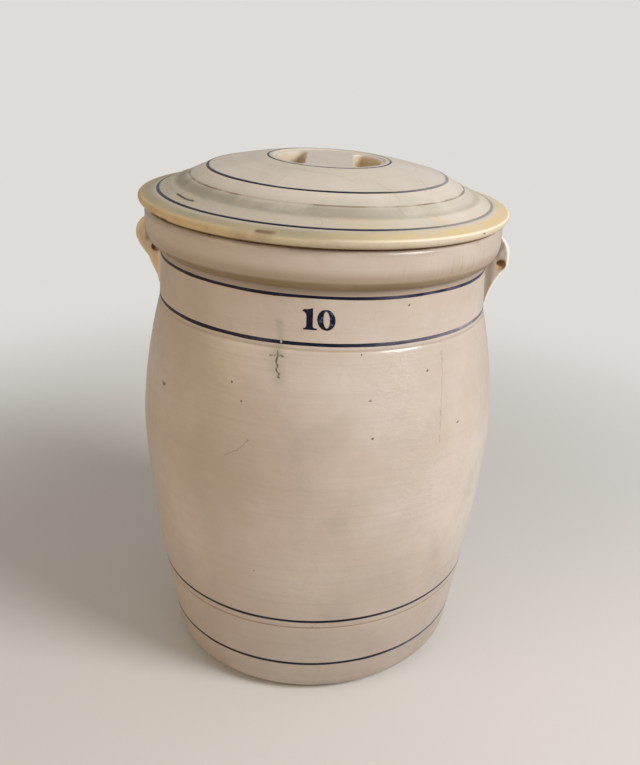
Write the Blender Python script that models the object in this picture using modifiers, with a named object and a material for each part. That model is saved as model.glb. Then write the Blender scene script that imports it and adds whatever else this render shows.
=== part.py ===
# Self-draining stoneware crock: a turned jar with two pierced lugs, a domed lid with a sunken grip,
# a pierced false bottom that stands on a ledge over the sump, and a wooden bung in the drain outlet.
# Metres, +Z up. The front faces -Y, the lugs lie on X and the outlet is at the back, on +Y.

import math

import bmesh
import bpy

# Jar wall
BODY_HEIGHT = 0.493
BASE_RADIUS = 0.1605
BELLY_RADIUS = 0.1895
BELLY_HEIGHT = 0.266
SHOULDER_RADIUS = 0.1700
NECK_HEIGHT = 0.048
NECK_RADIUS = 0.1676
WALL = 0.015
LOWER_BOW = 1.50
UPPER_BOW = 1.75

# Rolled collar under the lid
COLLAR_STANDOUT = 0.0139
COLLAR_DEPTH = 0.0450
COLLAR_UNDERCUT = 0.014
RIM_ROUND = 0.006

# Foot and floor
FOOT_ROUND = 0.021
FOOT_RING = 0.022
FOOT_RECESS = 0.003
FLOOR_THICKNESS = 0.019
FLOOR_CROWN = 0.005
FLOOR_FILLET = 0.006

# Ledge, false bottom and sump
LEDGE_HEIGHT = 0.058
LEDGE_BEARING = 0.0058
PLATE_THICKNESS = 0.012
PLATE_CLEARANCE = 0.0022
LIFT_HOLE_RADIUS = 0.014
DRAIN_HOLE_RADIUS = 0.005
DRAIN_RING_STEP = 0.034
DRAIN_HOLE_PITCH = 0.032
RING_TURN = 0.3

# Drain outlet and its bung
OUTLET_HEIGHT = 0.036
OUTLET_RADIUS = 0.0120
OUTLET_TAPER = 0.055
BOSS_RADIUS = 0.029
BOSS_STANDOUT = 0.006
BOSS_ROUND = 0.004
BUNG_CLEARANCE = 0.0003
BUNG_REACH = 0.005
BUNG_HEAD = 0.015
BUNG_ROUND = 0.002

# Lugs luted to the collar
LUG_REACH = 0.0133
LUG_TOP = 0.030
LUG_TAIL = 0.048
LUG_THICKNESS = 0.016
LUG_ROUND = 0.003
LUG_HOLE_RADIUS = 0.0055
LUG_HOLE_WALL = 0.0038
LUG_HOLE_DROP = 0.0055

# Lid
LID_OVERHANG = 0.0040
LID_EDGE = 0.0125
LID_EDGE_ROUND = 0.0045
LID_WALL = 0.010
LID_SKIN = 0.012
FLANGE_WIDTH = 0.0175
FLANGE_RISE = 0.0150
STEP_RADIUS = 0.1205
STEP_RISE = 0.0379
LIP_RADIUS = 0.057
LIP_RISE = 0.0500
LIP_WIDTH = 0.0130
SPIGOT_CLEARANCE = 0.0031
SPIGOT_DEPTH = 0.010
SPIGOT_WIDTH = 0.009
SPIGOT_DRAFT = 0.002
SLOPE_BOW = 1.06
CROWN_BOW = 1.35

# Sunken grip: two pockets beside a bar
POCKET_RADIUS = 0.052
POCKET_DEPTH = 0.0265
POCKET_ROUND = 0.004
GRIP_WIDTH = 0.049
GRIP_DROP = 0.0015

# Gap between pieces that touch, and mesh fineness
SEAT_GAP = 0.0003
STEPS = 64
SMALL_STEPS = 32
WALL_POINTS = 6
ARC_POINTS = 3
HOLE_POINTS = 14
DRAIN_HOLE_POINTS = 10
MERGE = 0.00001
SMOOTH_ANGLE = math.radians(35)

# Worked out from the sizes above
COLLAR_RADIUS = NECK_RADIUS + COLLAR_STANDOUT
COLLAR_FOOT = BODY_HEIGHT - COLLAR_DEPTH
SHOULDER_HEIGHT = COLLAR_FOOT - NECK_HEIGHT
MOUTH_RADIUS = NECK_RADIUS - WALL
FLOOR_HEIGHT = FOOT_RECESS + FLOOR_THICKNESS
SEAT_HEIGHT = BODY_HEIGHT + SEAT_GAP
LID_RADIUS = COLLAR_RADIUS + LID_OVERHANG
FLANGE_RADIUS = LID_RADIUS - FLANGE_WIDTH
GRIP_TOP = LIP_RISE - GRIP_DROP


def wall_radius(height):
    # Bowed from the base out to the belly and back in to the shoulder, then straight up the neck
    if height <= BELLY_HEIGHT:
        share = min(1.0, (BELLY_HEIGHT - height) / (BELLY_HEIGHT - FOOT_ROUND))
        return BELLY_RADIUS - (BELLY_RADIUS - BASE_RADIUS) * share**LOWER_BOW
    if height <= SHOULDER_HEIGHT:
        share = (height - BELLY_HEIGHT) / (SHOULDER_HEIGHT - BELLY_HEIGHT)
        return BELLY_RADIUS - (BELLY_RADIUS - SHOULDER_RADIUS) * share**UPPER_BOW
    share = min(1.0, (height - SHOULDER_HEIGHT) / (COLLAR_FOOT - SHOULDER_HEIGHT))
    return SHOULDER_RADIUS + (NECK_RADIUS - SHOULDER_RADIUS) * share


def arc(center, radii, start, end, points=ARC_POINTS):
    # Points of an ellipse arc in the plane of a profile, angles in degrees from +X
    found = []
    for i in range(points + 1):
        angle = math.radians(start + (end - start) * i / points)
        found.append((center[0] + radii[0] * math.cos(angle), center[1] + radii[1] * math.sin(angle)))
    return found


def between(low, high, points):
    return [low + (high - low) * i / points for i in range(points + 1)]


def inner_ledge_radius():
    return wall_radius(LEDGE_HEIGHT) - WALL


def plate_radius():
    # It goes in through the mouth and lies inside the wall at the ledge
    return min(inner_ledge_radius(), MOUTH_RADIUS) - PLATE_CLEARANCE


def sump_radius():
    # The ledge reaches in under the plate's rim
    return plate_radius() - LEDGE_BEARING


def outer_profile(grown=0.0):
    # From the rim down to the foot; grown moves the surface out by that much
    profile = arc(
        (COLLAR_RADIUS - RIM_ROUND, BODY_HEIGHT - RIM_ROUND),
        (RIM_ROUND + grown, RIM_ROUND + grown),
        90,
        0,
    )
    profile += arc(
        (NECK_RADIUS, COLLAR_FOOT + COLLAR_UNDERCUT),
        (COLLAR_STANDOUT + grown, COLLAR_UNDERCUT + grown),
        0,
        -90,
        2 * ARC_POINTS,
    )[:-1]
    profile.append((NECK_RADIUS + grown, COLLAR_FOOT - grown))
    for height in between(SHOULDER_HEIGHT, BELLY_HEIGHT, WALL_POINTS):
        profile.append((wall_radius(height) + grown, height))
    for height in between(BELLY_HEIGHT, FOOT_ROUND, WALL_POINTS + 1)[1:]:
        profile.append((wall_radius(height) + grown, height))
    return profile


def inner_profile():
    # From the middle of the floor, over the ledge and up to the mouth
    sump = sump_radius()
    profile = [(0.0, FLOOR_HEIGHT + FLOOR_CROWN)]
    profile += arc(
        (sump - FLOOR_FILLET, FLOOR_HEIGHT + FLOOR_FILLET), (FLOOR_FILLET, FLOOR_FILLET), -90, 0
    )
    profile.append((sump, LEDGE_HEIGHT))
    for height in between(LEDGE_HEIGHT, BELLY_HEIGHT, WALL_POINTS - 1):
        profile.append((wall_radius(height) - WALL, height))
    for height in between(BELLY_HEIGHT, SHOULDER_HEIGHT, WALL_POINTS - 2)[1:]:
        profile.append((wall_radius(height) - WALL, height))
    profile.append((MOUTH_RADIUS, COLLAR_FOOT))
    profile += arc(
        (MOUTH_RADIUS + RIM_ROUND, BODY_HEIGHT - RIM_ROUND), (RIM_ROUND, RIM_ROUND), 180, 90
    )
    return profile


def body_profile():
    foot = BASE_RADIUS - FOOT_ROUND
    profile = inner_profile() + outer_profile()
    profile += arc((foot, FOOT_ROUND), (FOOT_ROUND, FOOT_ROUND), 0, -90, 2 * ARC_POINTS)[1:]
    profile.append((foot - FOOT_RING, 0.0))
    profile.append((foot - FOOT_RING - FOOT_RECESS, FOOT_RECESS))
    profile.append((0.0, FOOT_RECESS))
    return profile


def lid_top(radius):
    # Height of the lid's upper side over its seat, from the flange to the lip
    if radius > STEP_RADIUS:
        share = (FLANGE_RADIUS - radius) / (FLANGE_RADIUS - STEP_RADIUS)
        return FLANGE_RISE + (STEP_RISE - FLANGE_RISE) * share**SLOPE_BOW
    share = (radius - LIP_RADIUS) / (STEP_RADIUS - LIP_RADIUS)
    return LIP_RISE - (LIP_RISE - STEP_RISE) * share**CROWN_BOW


def lid_profile():
    edge = LID_EDGE / 2
    spigot = MOUTH_RADIUS - SPIGOT_CLEARANCE
    inside = spigot - SPIGOT_WIDTH
    hub = POCKET_RADIUS + LID_WALL
    hub_bottom = GRIP_TOP - POCKET_DEPTH - LID_WALL
    crown = between(LIP_RADIUS, STEP_RADIUS, WALL_POINTS)[1:]
    slope = between(STEP_RADIUS, FLANGE_RADIUS, WALL_POINTS - 1)[1:]
    profile = [(0.0, GRIP_TOP)]
    profile += arc((LIP_RADIUS, GRIP_TOP), (LIP_WIDTH / 2, GRIP_DROP), 180, 90)
    profile += [(radius, lid_top(radius)) for radius in crown + slope]
    profile += arc((LID_RADIUS - LID_EDGE_ROUND, edge), (LID_EDGE_ROUND, edge), 84, -90, 2 * ARC_POINTS)
    profile.append((spigot, 0.0))
    profile.append((spigot - SPIGOT_DRAFT, -SPIGOT_DEPTH))
    profile.append((inside, -SPIGOT_DEPTH))
    for radius in (inside - SPIGOT_DRAFT, STEP_RADIUS, hub + LID_WALL):
        profile.append((radius, lid_top(radius) - LID_SKIN))
    profile.append((hub, hub_bottom + LID_WALL))
    profile.append((hub - LID_WALL / 2, hub_bottom))
    profile.append((0.0, hub_bottom))
    return profile


def material(name, color, roughness):
    made = bpy.data.materials.new(name)
    made.use_nodes = True
    shader = made.node_tree.nodes["Principled BSDF"]
    shader.inputs["Base Color"].default_value = (*color, 1.0)
    shader.inputs["Roughness"].default_value = roughness
    shader.inputs["Metallic"].default_value = 0.0
    made.diffuse_color = (*color, 1.0)
    return made


def add(name, data, group):
    made = bpy.data.objects.new(name, data)
    group.objects.link(made)
    if group == cutters:
        made.hide_render = True
        made.display_type = "WIRE"
    return made


def turned(name, profile, group, steps=STEPS):
    # A profile at +X, running down its outer side, swept once round its own Z axis
    mesh = bpy.data.meshes.new(name)
    edges = [(i, i + 1) for i in range(len(profile) - 1)]
    mesh.from_pydata([(radius, 0.0, height) for radius, height in profile], edges, [])
    made = add(name, mesh, group)
    screw = made.modifiers.new("Turn", "SCREW")
    screw.steps = steps
    screw.render_steps = steps
    screw.use_merge_vertices = True
    screw.merge_threshold = MERGE
    return made


def flat(name, outlines, thickness, rounded, group):
    # A plate from closed outlines in its own XY plane; the inner ones are its holes
    curve = bpy.data.curves.new(name, "CURVE")
    curve.dimensions = "2D"
    curve.fill_mode = "BOTH"
    curve.extrude = thickness / 2 - rounded
    curve.bevel_depth = rounded
    curve.bevel_resolution = 1
    curve.offset = -rounded
    for outline in outlines:
        spline = curve.splines.new("POLY")
        spline.points.add(len(outline) - 1)
        for point, (x, y) in zip(spline.points, outline):
            point.co = (x, y, 0.0, 1.0)
        spline.use_cyclic_u = True
    return add(name, curve, group)


def circle(center, radius, points, turn=0.0):
    # Points round a center; turn is where the first one lies, in steps
    angles = [2 * math.pi * (i + turn) / points for i in range(points)]
    return [(center[0] + radius * math.cos(a), center[1] + radius * math.sin(a)) for a in angles]


def bake(made):
    # The evaluated shape takes the object's place, with its caps welded to its sides
    bpy.context.view_layer.update()
    shape = made.evaluated_get(bpy.context.evaluated_depsgraph_get())
    mesh = bpy.data.meshes.new_from_object(shape)
    edit = bmesh.new()
    edit.from_mesh(mesh)
    bmesh.ops.remove_doubles(edit, verts=edit.verts, dist=MERGE)
    bmesh.ops.recalc_face_normals(edit, faces=edit.faces)
    edit.to_mesh(mesh)
    edit.free()
    name, group = made.name, made.users_collection[0]
    place = made.matrix_world.copy()
    bpy.data.objects.remove(made)
    baked = add(name, mesh, group)
    baked.matrix_world = place
    return baked


def boolean(made, cutter, operation):
    step = made.modifiers.new(cutter.name, "BOOLEAN")
    step.operation = operation
    step.object = cutter


def finish(made, finish_material):
    # Modifiers are settled, round faces shaded smooth, and the material given
    made.modifiers.new("Even triangles", "TRIANGULATE")
    done = bake(made)
    done.data.materials.clear()
    done.data.materials.append(finish_material)
    done.data.shade_smooth()
    done.data.set_sharp_from_angle(angle=SMOOTH_ANGLE)
    return done


def outlet_radius(depth):
    # The outlet widens outwards, from its inner end at the sump wall
    return OUTLET_RADIUS + OUTLET_TAPER * (depth - sump_radius())


def boss_face():
    return wall_radius(OUTLET_HEIGHT) + BOSS_STANDOUT


def lay_on_outlet(made):
    # Turns a piece's own Z axis to the outlet's axis, +Y
    made.rotation_euler = (-math.pi / 2, 0.0, 0.0)
    made.location = (0.0, 0.0, OUTLET_HEIGHT)


def make_body():
    body = turned("crock_body", body_profile(), parts)
    face = boss_face()
    root = (sump_radius() + wall_radius(OUTLET_HEIGHT)) / 2
    boss_profile = [(0.0, face)]
    boss_profile += arc((BOSS_RADIUS - BOSS_ROUND, face - BOSS_ROUND), (BOSS_ROUND, BOSS_ROUND), 90, 0)
    boss_profile += [(BOSS_RADIUS, root), (0.0, root)]
    boss = turned("outlet_boss", boss_profile, cutters, SMALL_STEPS)
    lay_on_outlet(boss)
    inner = sump_radius() - BOSS_RADIUS
    outer = face + BOSS_STANDOUT
    bore = turned(
        "outlet_bore",
        [(0.0, outer), (outlet_radius(outer), outer), (outlet_radius(inner), inner), (0.0, inner)],
        cutters,
        SMALL_STEPS,
    )
    lay_on_outlet(bore)
    boolean(body, boss, "UNION")
    boolean(body, bore, "DIFFERENCE")
    return finish(body, material("Ivory glaze", (0.62, 0.55, 0.46), 0.28))


def lug_outline(side):
    # A fin that swells round its hole and tapers down the neck; its root lies inside the wall
    eye_height = COLLAR_FOOT - LUG_HOLE_DROP
    eye = LUG_HOLE_RADIUS + LUG_HOLE_WALL
    top = COLLAR_FOOT + LUG_TOP
    tail = COLLAR_FOOT - LUG_TAIL
    root = min(NECK_RADIUS, SHOULDER_RADIUS) - WALL / 2
    brow = eye_height + LUG_HOLE_RADIUS
    points = [(root, top), (COLLAR_RADIUS, top)]
    points += arc((COLLAR_RADIUS, brow), (LUG_REACH, top - brow), 84, 0, 2 * ARC_POINTS)
    points += arc((COLLAR_RADIUS + LUG_REACH - eye, eye_height), (eye, eye), 0, -45)
    points += [(wall_radius(tail) + LUG_ROUND, tail), (root, tail)]
    return [(side * x, z) for x, z in points]


def make_lug(name, side, trim, glaze):
    hole_center = side * (COLLAR_RADIUS + LUG_REACH - LUG_HOLE_WALL - LUG_HOLE_RADIUS)
    hole = circle((hole_center, COLLAR_FOOT - LUG_HOLE_DROP), LUG_HOLE_RADIUS, HOLE_POINTS)
    lug = flat(name, [lug_outline(side), hole], LUG_THICKNESS, LUG_ROUND, parts)
    lug.rotation_euler = (math.pi / 2, 0.0, 0.0)
    lug = bake(lug)
    boolean(lug, trim, "DIFFERENCE")
    finish(lug, glaze)


def make_lugs():
    # The trim is the jar's own outside, grown by the seat gap, so that each lug fits the wall
    outside = outer_profile(SEAT_GAP)
    trim = turned("wall_trim", [(0.0, outside[0][1])] + outside + [(0.0, outside[-1][1])], cutters)
    glaze = material("Lug glaze", (0.62, 0.55, 0.46), 0.30)
    make_lug("ear_left", -1, trim, glaze)
    make_lug("ear_right", 1, trim, glaze)


def pocket_outline(side):
    # A segment of a circle, cut off by the side of the grip bar
    half = math.degrees(math.acos(GRIP_WIDTH / 2 / POCKET_RADIUS))
    rounded = arc((0.0, 0.0), (POCKET_RADIUS, POCKET_RADIUS), -half, half, HOLE_POINTS)
    return [(side * x, y) for x, y in rounded]


def make_lid():
    lid = turned("lid", lid_profile(), parts)
    lid.location = (0.0, 0.0, SEAT_HEIGHT)
    height = POCKET_DEPTH * 2
    for name, side in (("left_pocket", -1), ("right_pocket", 1)):
        pocket = flat(name, [pocket_outline(side)], height, POCKET_ROUND, cutters)
        pocket.location = (0.0, 0.0, SEAT_HEIGHT + GRIP_TOP)
        boolean(lid, bake(pocket), "DIFFERENCE")
    return finish(lid, material("Pale glaze", (0.66, 0.60, 0.50), 0.26))


def make_plate():
    radius = plate_radius()
    outlines = [circle((0.0, 0.0), radius, STEPS), circle((0.0, 0.0), LIFT_HOLE_RADIUS, SMALL_STEPS)]
    ring = LIFT_HOLE_RADIUS + DRAIN_RING_STEP
    while ring + DRAIN_HOLE_RADIUS + PLATE_THICKNESS < radius:
        count = int(2 * math.pi * ring / DRAIN_HOLE_PITCH)
        for center in circle((0.0, 0.0), ring, count, RING_TURN):
            outlines.append(circle(center, DRAIN_HOLE_RADIUS, DRAIN_HOLE_POINTS))
        ring += DRAIN_RING_STEP
    plate = flat("drain_plate", outlines, PLATE_THICKNESS, 0.0, parts)
    plate.location = (0.0, 0.0, LEDGE_HEIGHT + SEAT_GAP + PLATE_THICKNESS / 2)
    return finish(plate, material("Plate glaze", (0.58, 0.50, 0.40), 0.40))


def make_bung():
    inner = sump_radius() - BUNG_REACH
    outer = boss_face() + BUNG_HEAD
    tip = outlet_radius(inner) - BUNG_CLEARANCE
    head = outlet_radius(outer) - BUNG_CLEARANCE
    profile = [(0.0, outer)]
    profile += arc((head - BUNG_ROUND, outer - BUNG_ROUND), (BUNG_ROUND, BUNG_ROUND), 90, 0)
    profile += [(tip, inner), (0.0, inner)]
    bung = turned("drain_bung", profile, parts, SMALL_STEPS)
    lay_on_outlet(bung)
    return finish(bung, material("Turned beech", (0.45, 0.28, 0.14), 0.55))


def capacity():
    # Litres to the brim, from the inner profile as a stack of cone slices
    profile = inner_profile()
    volume = 0.0
    for (r0, z0), (r1, z1) in zip(profile, profile[1:]):
        volume += math.pi / 3 * (z1 - z0) * (r0 * r0 + r0 * r1 + r1 * r1)
    return volume * 1000


for old in list(bpy.data.objects):
    bpy.data.objects.remove(old)
parts = bpy.data.collections.new("Self-draining crock")
cutters = bpy.data.collections.new("Cutters")
bpy.context.scene.collection.children.link(parts)
bpy.context.scene.collection.children.link(cutters)

make_body()
make_lugs()
make_lid()
make_plate()
make_bung()
print(f"Brimful capacity {capacity():.1f} litres")
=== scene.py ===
# Looks of the self-draining stoneware crock: the thrown jar with its painted lines and numeral, two luted lugs,
# the domed lid with its sunken grip, the pierced false bottom and the wooden bung.
# Metres, +Z up, the front faces -Y.
import math
from contextlib import contextmanager
from functools import reduce

import bmesh
import bpy
from mathutils import Matrix, Vector
from mathutils.bvhtree import BVHTree


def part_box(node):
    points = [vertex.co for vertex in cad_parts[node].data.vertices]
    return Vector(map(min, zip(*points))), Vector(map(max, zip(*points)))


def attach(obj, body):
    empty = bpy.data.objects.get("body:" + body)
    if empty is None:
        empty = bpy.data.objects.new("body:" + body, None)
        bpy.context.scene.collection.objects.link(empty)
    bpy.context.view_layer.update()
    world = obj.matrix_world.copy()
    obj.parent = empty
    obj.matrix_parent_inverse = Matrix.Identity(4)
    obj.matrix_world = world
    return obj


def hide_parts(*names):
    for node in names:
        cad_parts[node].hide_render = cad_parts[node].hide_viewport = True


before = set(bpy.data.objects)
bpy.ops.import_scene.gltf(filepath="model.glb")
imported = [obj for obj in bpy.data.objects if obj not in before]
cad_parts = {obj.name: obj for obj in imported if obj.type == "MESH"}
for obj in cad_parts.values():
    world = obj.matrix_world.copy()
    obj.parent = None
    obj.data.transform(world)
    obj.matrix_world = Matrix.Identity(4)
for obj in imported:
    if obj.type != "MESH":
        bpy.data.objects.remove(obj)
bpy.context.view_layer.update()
scene = bpy.context.scene
print("frame loaded")


# Near the camera fitted to the photograph's lid rings and painted lines.
# The lens shift is smaller than the fitted one, so that the piece stays in view from its other sides
view = {
    "position": (0.0026, -0.9327, 0.6840),
    "tilt": 22.161,  # degrees down
    "turn": 7.560,  # degrees to the right
    "roll": 4.923,  # degrees
    "focal": 897.3,  # pixels
    "longSide": 765,  # pixels
    "sensor": 36.0,  # millimetres
    "shift": -0.15,
    "near": 0.05,
}


def makeCamera():
    tilt, turn, roll = (math.radians(view[name]) for name in ("tilt", "turn", "roll"))
    ahead = Vector((math.sin(turn) * math.cos(tilt), math.cos(turn) * math.cos(tilt), -math.sin(tilt)))
    right = Vector((math.cos(turn), -math.sin(turn), 0.0))
    up = right.cross(ahead)
    across = math.cos(roll) * right + math.sin(roll) * up
    upright = math.cos(roll) * up - math.sin(roll) * right
    lens = bpy.data.cameras.new("Camera")
    lens.sensor_width = view["sensor"]
    lens.lens = view["focal"] / view["longSide"] * view["sensor"]
    lens.shift_x = view["shift"]
    lens.clip_start = view["near"]
    camera = bpy.data.objects.new("Camera", lens)
    facing = Matrix((across, upright, -ahead)).transposed().to_4x4()
    camera.matrix_world = Matrix.Translation(view["position"]) @ facing
    scene.collection.objects.link(camera)
    scene.camera = camera


makeCamera()
print("camera placed")


def tone(red, green, blue):
    # From 0 to 255, as a picture holds a colour, to the linear values that shaders take
    parts = [part / 255 for part in (red, green, blue)]
    return tuple(part / 12.92 if part <= 0.04045 else ((part + 0.055) / 1.055) ** 2.4 for part in parts) + (1.0,)


def sign(operation, reflected=False):
    def act(self, other):
        return self.bench.maths(operation, *((other, self) if reflected else (self, other)))

    return act


class Wire:
    # An output of a node. The signs + - * / and ** on it add Math nodes
    def __init__(self, bench, socket):
        self.bench, self.socket = bench, socket

    __add__, __radd__ = sign("ADD"), sign("ADD", True)
    __sub__, __rsub__ = sign("SUBTRACT"), sign("SUBTRACT", True)
    __mul__, __rmul__ = sign("MULTIPLY"), sign("MULTIPLY", True)
    __truediv__, __rtruediv__ = sign("DIVIDE"), sign("DIVIDE", True)
    __pow__, __rpow__ = sign("POWER"), sign("POWER", True)


def least(wires):
    return reduce(lambda one, other: one.bench.maths("MINIMUM", one, other), wires)


def most(*wires):
    return reduce(lambda one, other: one.bench.maths("MAXIMUM", one, other), wires)


class Bench:
    # The node tree that is being wired
    def __init__(self, tree):
        self.tree = tree

    def add(self, kind, settings=None, values=None, out=0):
        node = self.tree.nodes.new(kind)
        for name, value in (settings or {}).items():
            setattr(node, name, value)
        for name, value in (values or {}).items():
            for single in value if isinstance(value, list) else [value]:
                if isinstance(single, Wire):
                    self.tree.links.new(single.socket, node.inputs[name])
                else:
                    node.inputs[name].default_value = single
        if isinstance(out, tuple):
            return [Wire(self, node.outputs[each]) for each in out]
        return Wire(self, node.outputs[out])

    def maths(self, operation, *values):
        return self.add("ShaderNodeMath", {"operation": operation}, dict(enumerate(values)))

    def vector(self, operation, first, second):
        slot = "Scale" if operation == "SCALE" else 1
        out = "Value" if operation in ("DISTANCE", "DOT_PRODUCT") else 0
        return self.add("ShaderNodeVectorMath", {"operation": operation}, {0: first, slot: second}, out)

    def split(self, value):
        return self.add("ShaderNodeSeparateXYZ", None, {0: value}, (0, 1, 2))

    def joined(self, x=0.0, y=0.0, z=0.0):
        return self.add("ShaderNodeCombineXYZ", None, {0: x, 1: y, 2: z})

    def clamped(self, value):
        return self.add("ShaderNodeClamp", None, {0: value})

    def mix(self, share, first, second):
        return self.add("ShaderNodeMix", {"data_type": "RGBA"}, {0: share, 6: first, 7: second}, 2)

    def rise(self, value, low, high):
        # 0 below low, 1 above high, with a soft step between
        return self.add("ShaderNodeMapRange", {"interpolation_type": "SMOOTHSTEP"}, {0: value, 1: low, 2: high})

    def fall(self, value, low, high):
        return 1 - self.rise(value, low, high)

    def band(self, value, middle, width, soft):
        low, high = middle - width / 2, middle + width / 2
        return self.rise(value, low - soft, low) * self.fall(value, high, high + soft)

    def stretched(self, at, scale):
        return self.vector("MULTIPLY", at, scale)

    def noise(self, at, scale, detail=3.0, rough=0.55, out=0):
        # scale is one number, or one for each axis
        if isinstance(scale, tuple):
            at, scale = self.stretched(at, scale), 1.0
        values = {"Vector": at, "Scale": scale, "Detail": detail, "Roughness": rough}
        return self.add("ShaderNodeTexNoise", None, values, out)

    def cells(self, at, scale, out, feature="F1"):
        return self.add("ShaderNodeTexVoronoi", {"feature": feature}, {"Vector": at, "Scale": scale}, out)

    def shaken(self, at, scale, reach):
        # The same place, moved about by up to half of reach
        level = self.vector("SUBTRACT", self.noise(at, scale, 2.0, 0.5, 1), (0.5, 0.5, 0.5))
        return self.vector("ADD", at, self.vector("SCALE", level, reach))

    def farFrom(self, at, place):
        return self.vector("DISTANCE", at, place)

    def farFromLine(self, at, start, end):
        # Distance to a straight stroke
        way = Vector(end) - Vector(start)
        offset = self.vector("SUBTRACT", at, tuple(start))
        along = self.clamped(self.vector("DOT_PRODUCT", offset, tuple(way / way.length_squared)))
        return self.vector("DISTANCE", offset, self.vector("SCALE", tuple(way), along))

    def scratch(self, at, places, width, soft):
        # A hairline through these places
        nearest = least(self.farFromLine(at, start, end) for start, end in zip(places, places[1:]))
        return self.fall(nearest, width / 2, width / 2 + soft)


class Look(Bench):
    # A material in the making, with its colour, its roughness and its height in metres
    def __init__(self, name):
        self.made = bpy.data.materials.new(name)
        self.made.use_nodes = True
        self.made.node_tree.nodes.clear()
        super().__init__(self.made.node_tree)
        self.at = self.add("ShaderNodeTexCoord", None, None, "Object")
        self.x, self.y, self.z = self.split(self.at)
        self.radius = (self.x * self.x + self.y * self.y) ** 0.5

    def lay(self, share, color):
        self.color = self.mix(share, self.color, color)

    def strip(self, share, bare, grain):
        # Takes the glaze off
        self.lay(share, bare)
        self.height = self.height * (1 - share) + grain * share
        self.roughness = self.roughness * (1 - share) + clay["roughness"] * share

    def close(self, **fixed):
        bump = self.add("ShaderNodeBump", None, {"Strength": 1.0, "Distance": 1.0, "Height": self.height})
        values = {"Base Color": self.color, "Roughness": self.roughness, "Normal": bump}
        values.update({name.replace("_", " "): value for name, value in fixed.items()})
        shader = self.add("ShaderNodeBsdfPrincipled", None, values)
        self.add("ShaderNodeOutputMaterial", None, {0: shader}, ())
        return self.made


# Fired glaze: what the jar, its lugs, the lid and the false bottom share
glaze = {
    "cloudScale": 7.0,
    "smokeScale": 13.0,
    "mottleScale": 85.0,
    "speckScale": 34.0,
    "speckSize": 0.021,
    "pinScale": 90.0,
    "crazeScale": 62.0,
    "throwing": 0.00025,  # height of the throwing lines, metres
    "throwingPitch": 230.0,
    "peel": 0.00005,  # orange peel of the glaze, metres
    "peelScale": 260.0,
    "leather": 0.00042,  # slow dimples of thick glaze, metres
    "leatherScale": 85.0,
    "pinDepth": 0.00012,
    "crazeDepth": 0.00003,
    "shine": 0.29,
}

clay = {
    "pale": tone(186, 158, 124),
    "dark": tone(138, 108, 78),
    "grainScale": 420.0,
    "grain": 0.00012,
    "roughness": 0.86,
}


def glazed(look, colors, craze, throwing=1.0):
    # colors are pale, warm, grey and speck. craze and throwing say how far those lines show
    at = look.at
    cloud = look.noise(at, glaze["cloudScale"], 4.0, 0.6)
    look.color = look.mix(look.rise(cloud, 0.30, 0.70) * 0.7 + 0.1, colors["pale"], colors["warm"])
    smoke = look.noise(look.shaken(at, 9.0, 0.05), glaze["smokeScale"], 5.0, 0.62)
    look.lay(look.rise(smoke, 0.50, 0.80) * 0.40, colors["grey"])
    lines = look.noise(at, (2.5, 2.5, glaze["throwingPitch"]), 3.0, 0.6)
    look.lay(look.rise(lines, 0.5, 0.8) * 0.2, colors["grey"])
    mottle = look.noise(at, glaze["mottleScale"], 3.0, 0.6)
    look.lay(look.rise(mottle, 0.48, 0.75) * 0.22, colors["warm"])
    distance, kind = look.cells(look.shaken(at, 40.0, 0.012), glaze["speckScale"], ("Distance", "Color"))
    size = look.add("ShaderNodeSeparateColor", None, {0: kind})
    size = look.rise(size, 0.35, 1.0) * glaze["speckSize"] + 0.001
    speck = look.fall(distance - size, 0.0, 0.010)
    look.lay(speck * 0.55, colors["speck"])
    pin = look.fall(look.cells(at, glaze["pinScale"], "Distance"), 0.015, 0.05)
    look.lay(pin * 0.30, colors["speck"])
    cracks = look.cells(look.shaken(at, 22.0, 0.02), glaze["crazeScale"], 0, "DISTANCE_TO_EDGE")
    cracks = look.fall(cracks, 0.004, 0.020) * look.rise(look.noise(at, 8.0, 2.0), 0.46, 0.62)
    look.lay(cracks * craze, colors["speck"])
    peel = look.noise(at, glaze["peelScale"], 2.0)
    leather = look.noise(look.stretched(at, (1.0, 1.0, 1.5)), glaze["leatherScale"], 3.0, 0.5)
    look.height = lines * (glaze["throwing"] * throwing) + peel * glaze["peel"] + leather * glaze["leather"]
    look.height = look.height - pin * glaze["pinDepth"] - cracks * glaze["crazeDepth"]
    look.roughness = glaze["shine"] + 0.16 * look.rise(smoke, 0.45, 0.8)
    look.roughness = look.roughness + 0.08 * look.rise(mottle, 0.45, 0.7) + 0.15 * speck


def clayGround(look):
    # Bare fired clay, where a piece stood in the kiln
    grain = look.noise(look.at, clay["grainScale"], 3.0, 0.7)
    patch = look.noise(look.at, 30.0)
    color = look.mix(look.rise(grain * 0.5 + patch * 0.5, 0.4, 0.62), clay["pale"], clay["dark"])
    return color, grain * clay["grain"]


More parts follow.
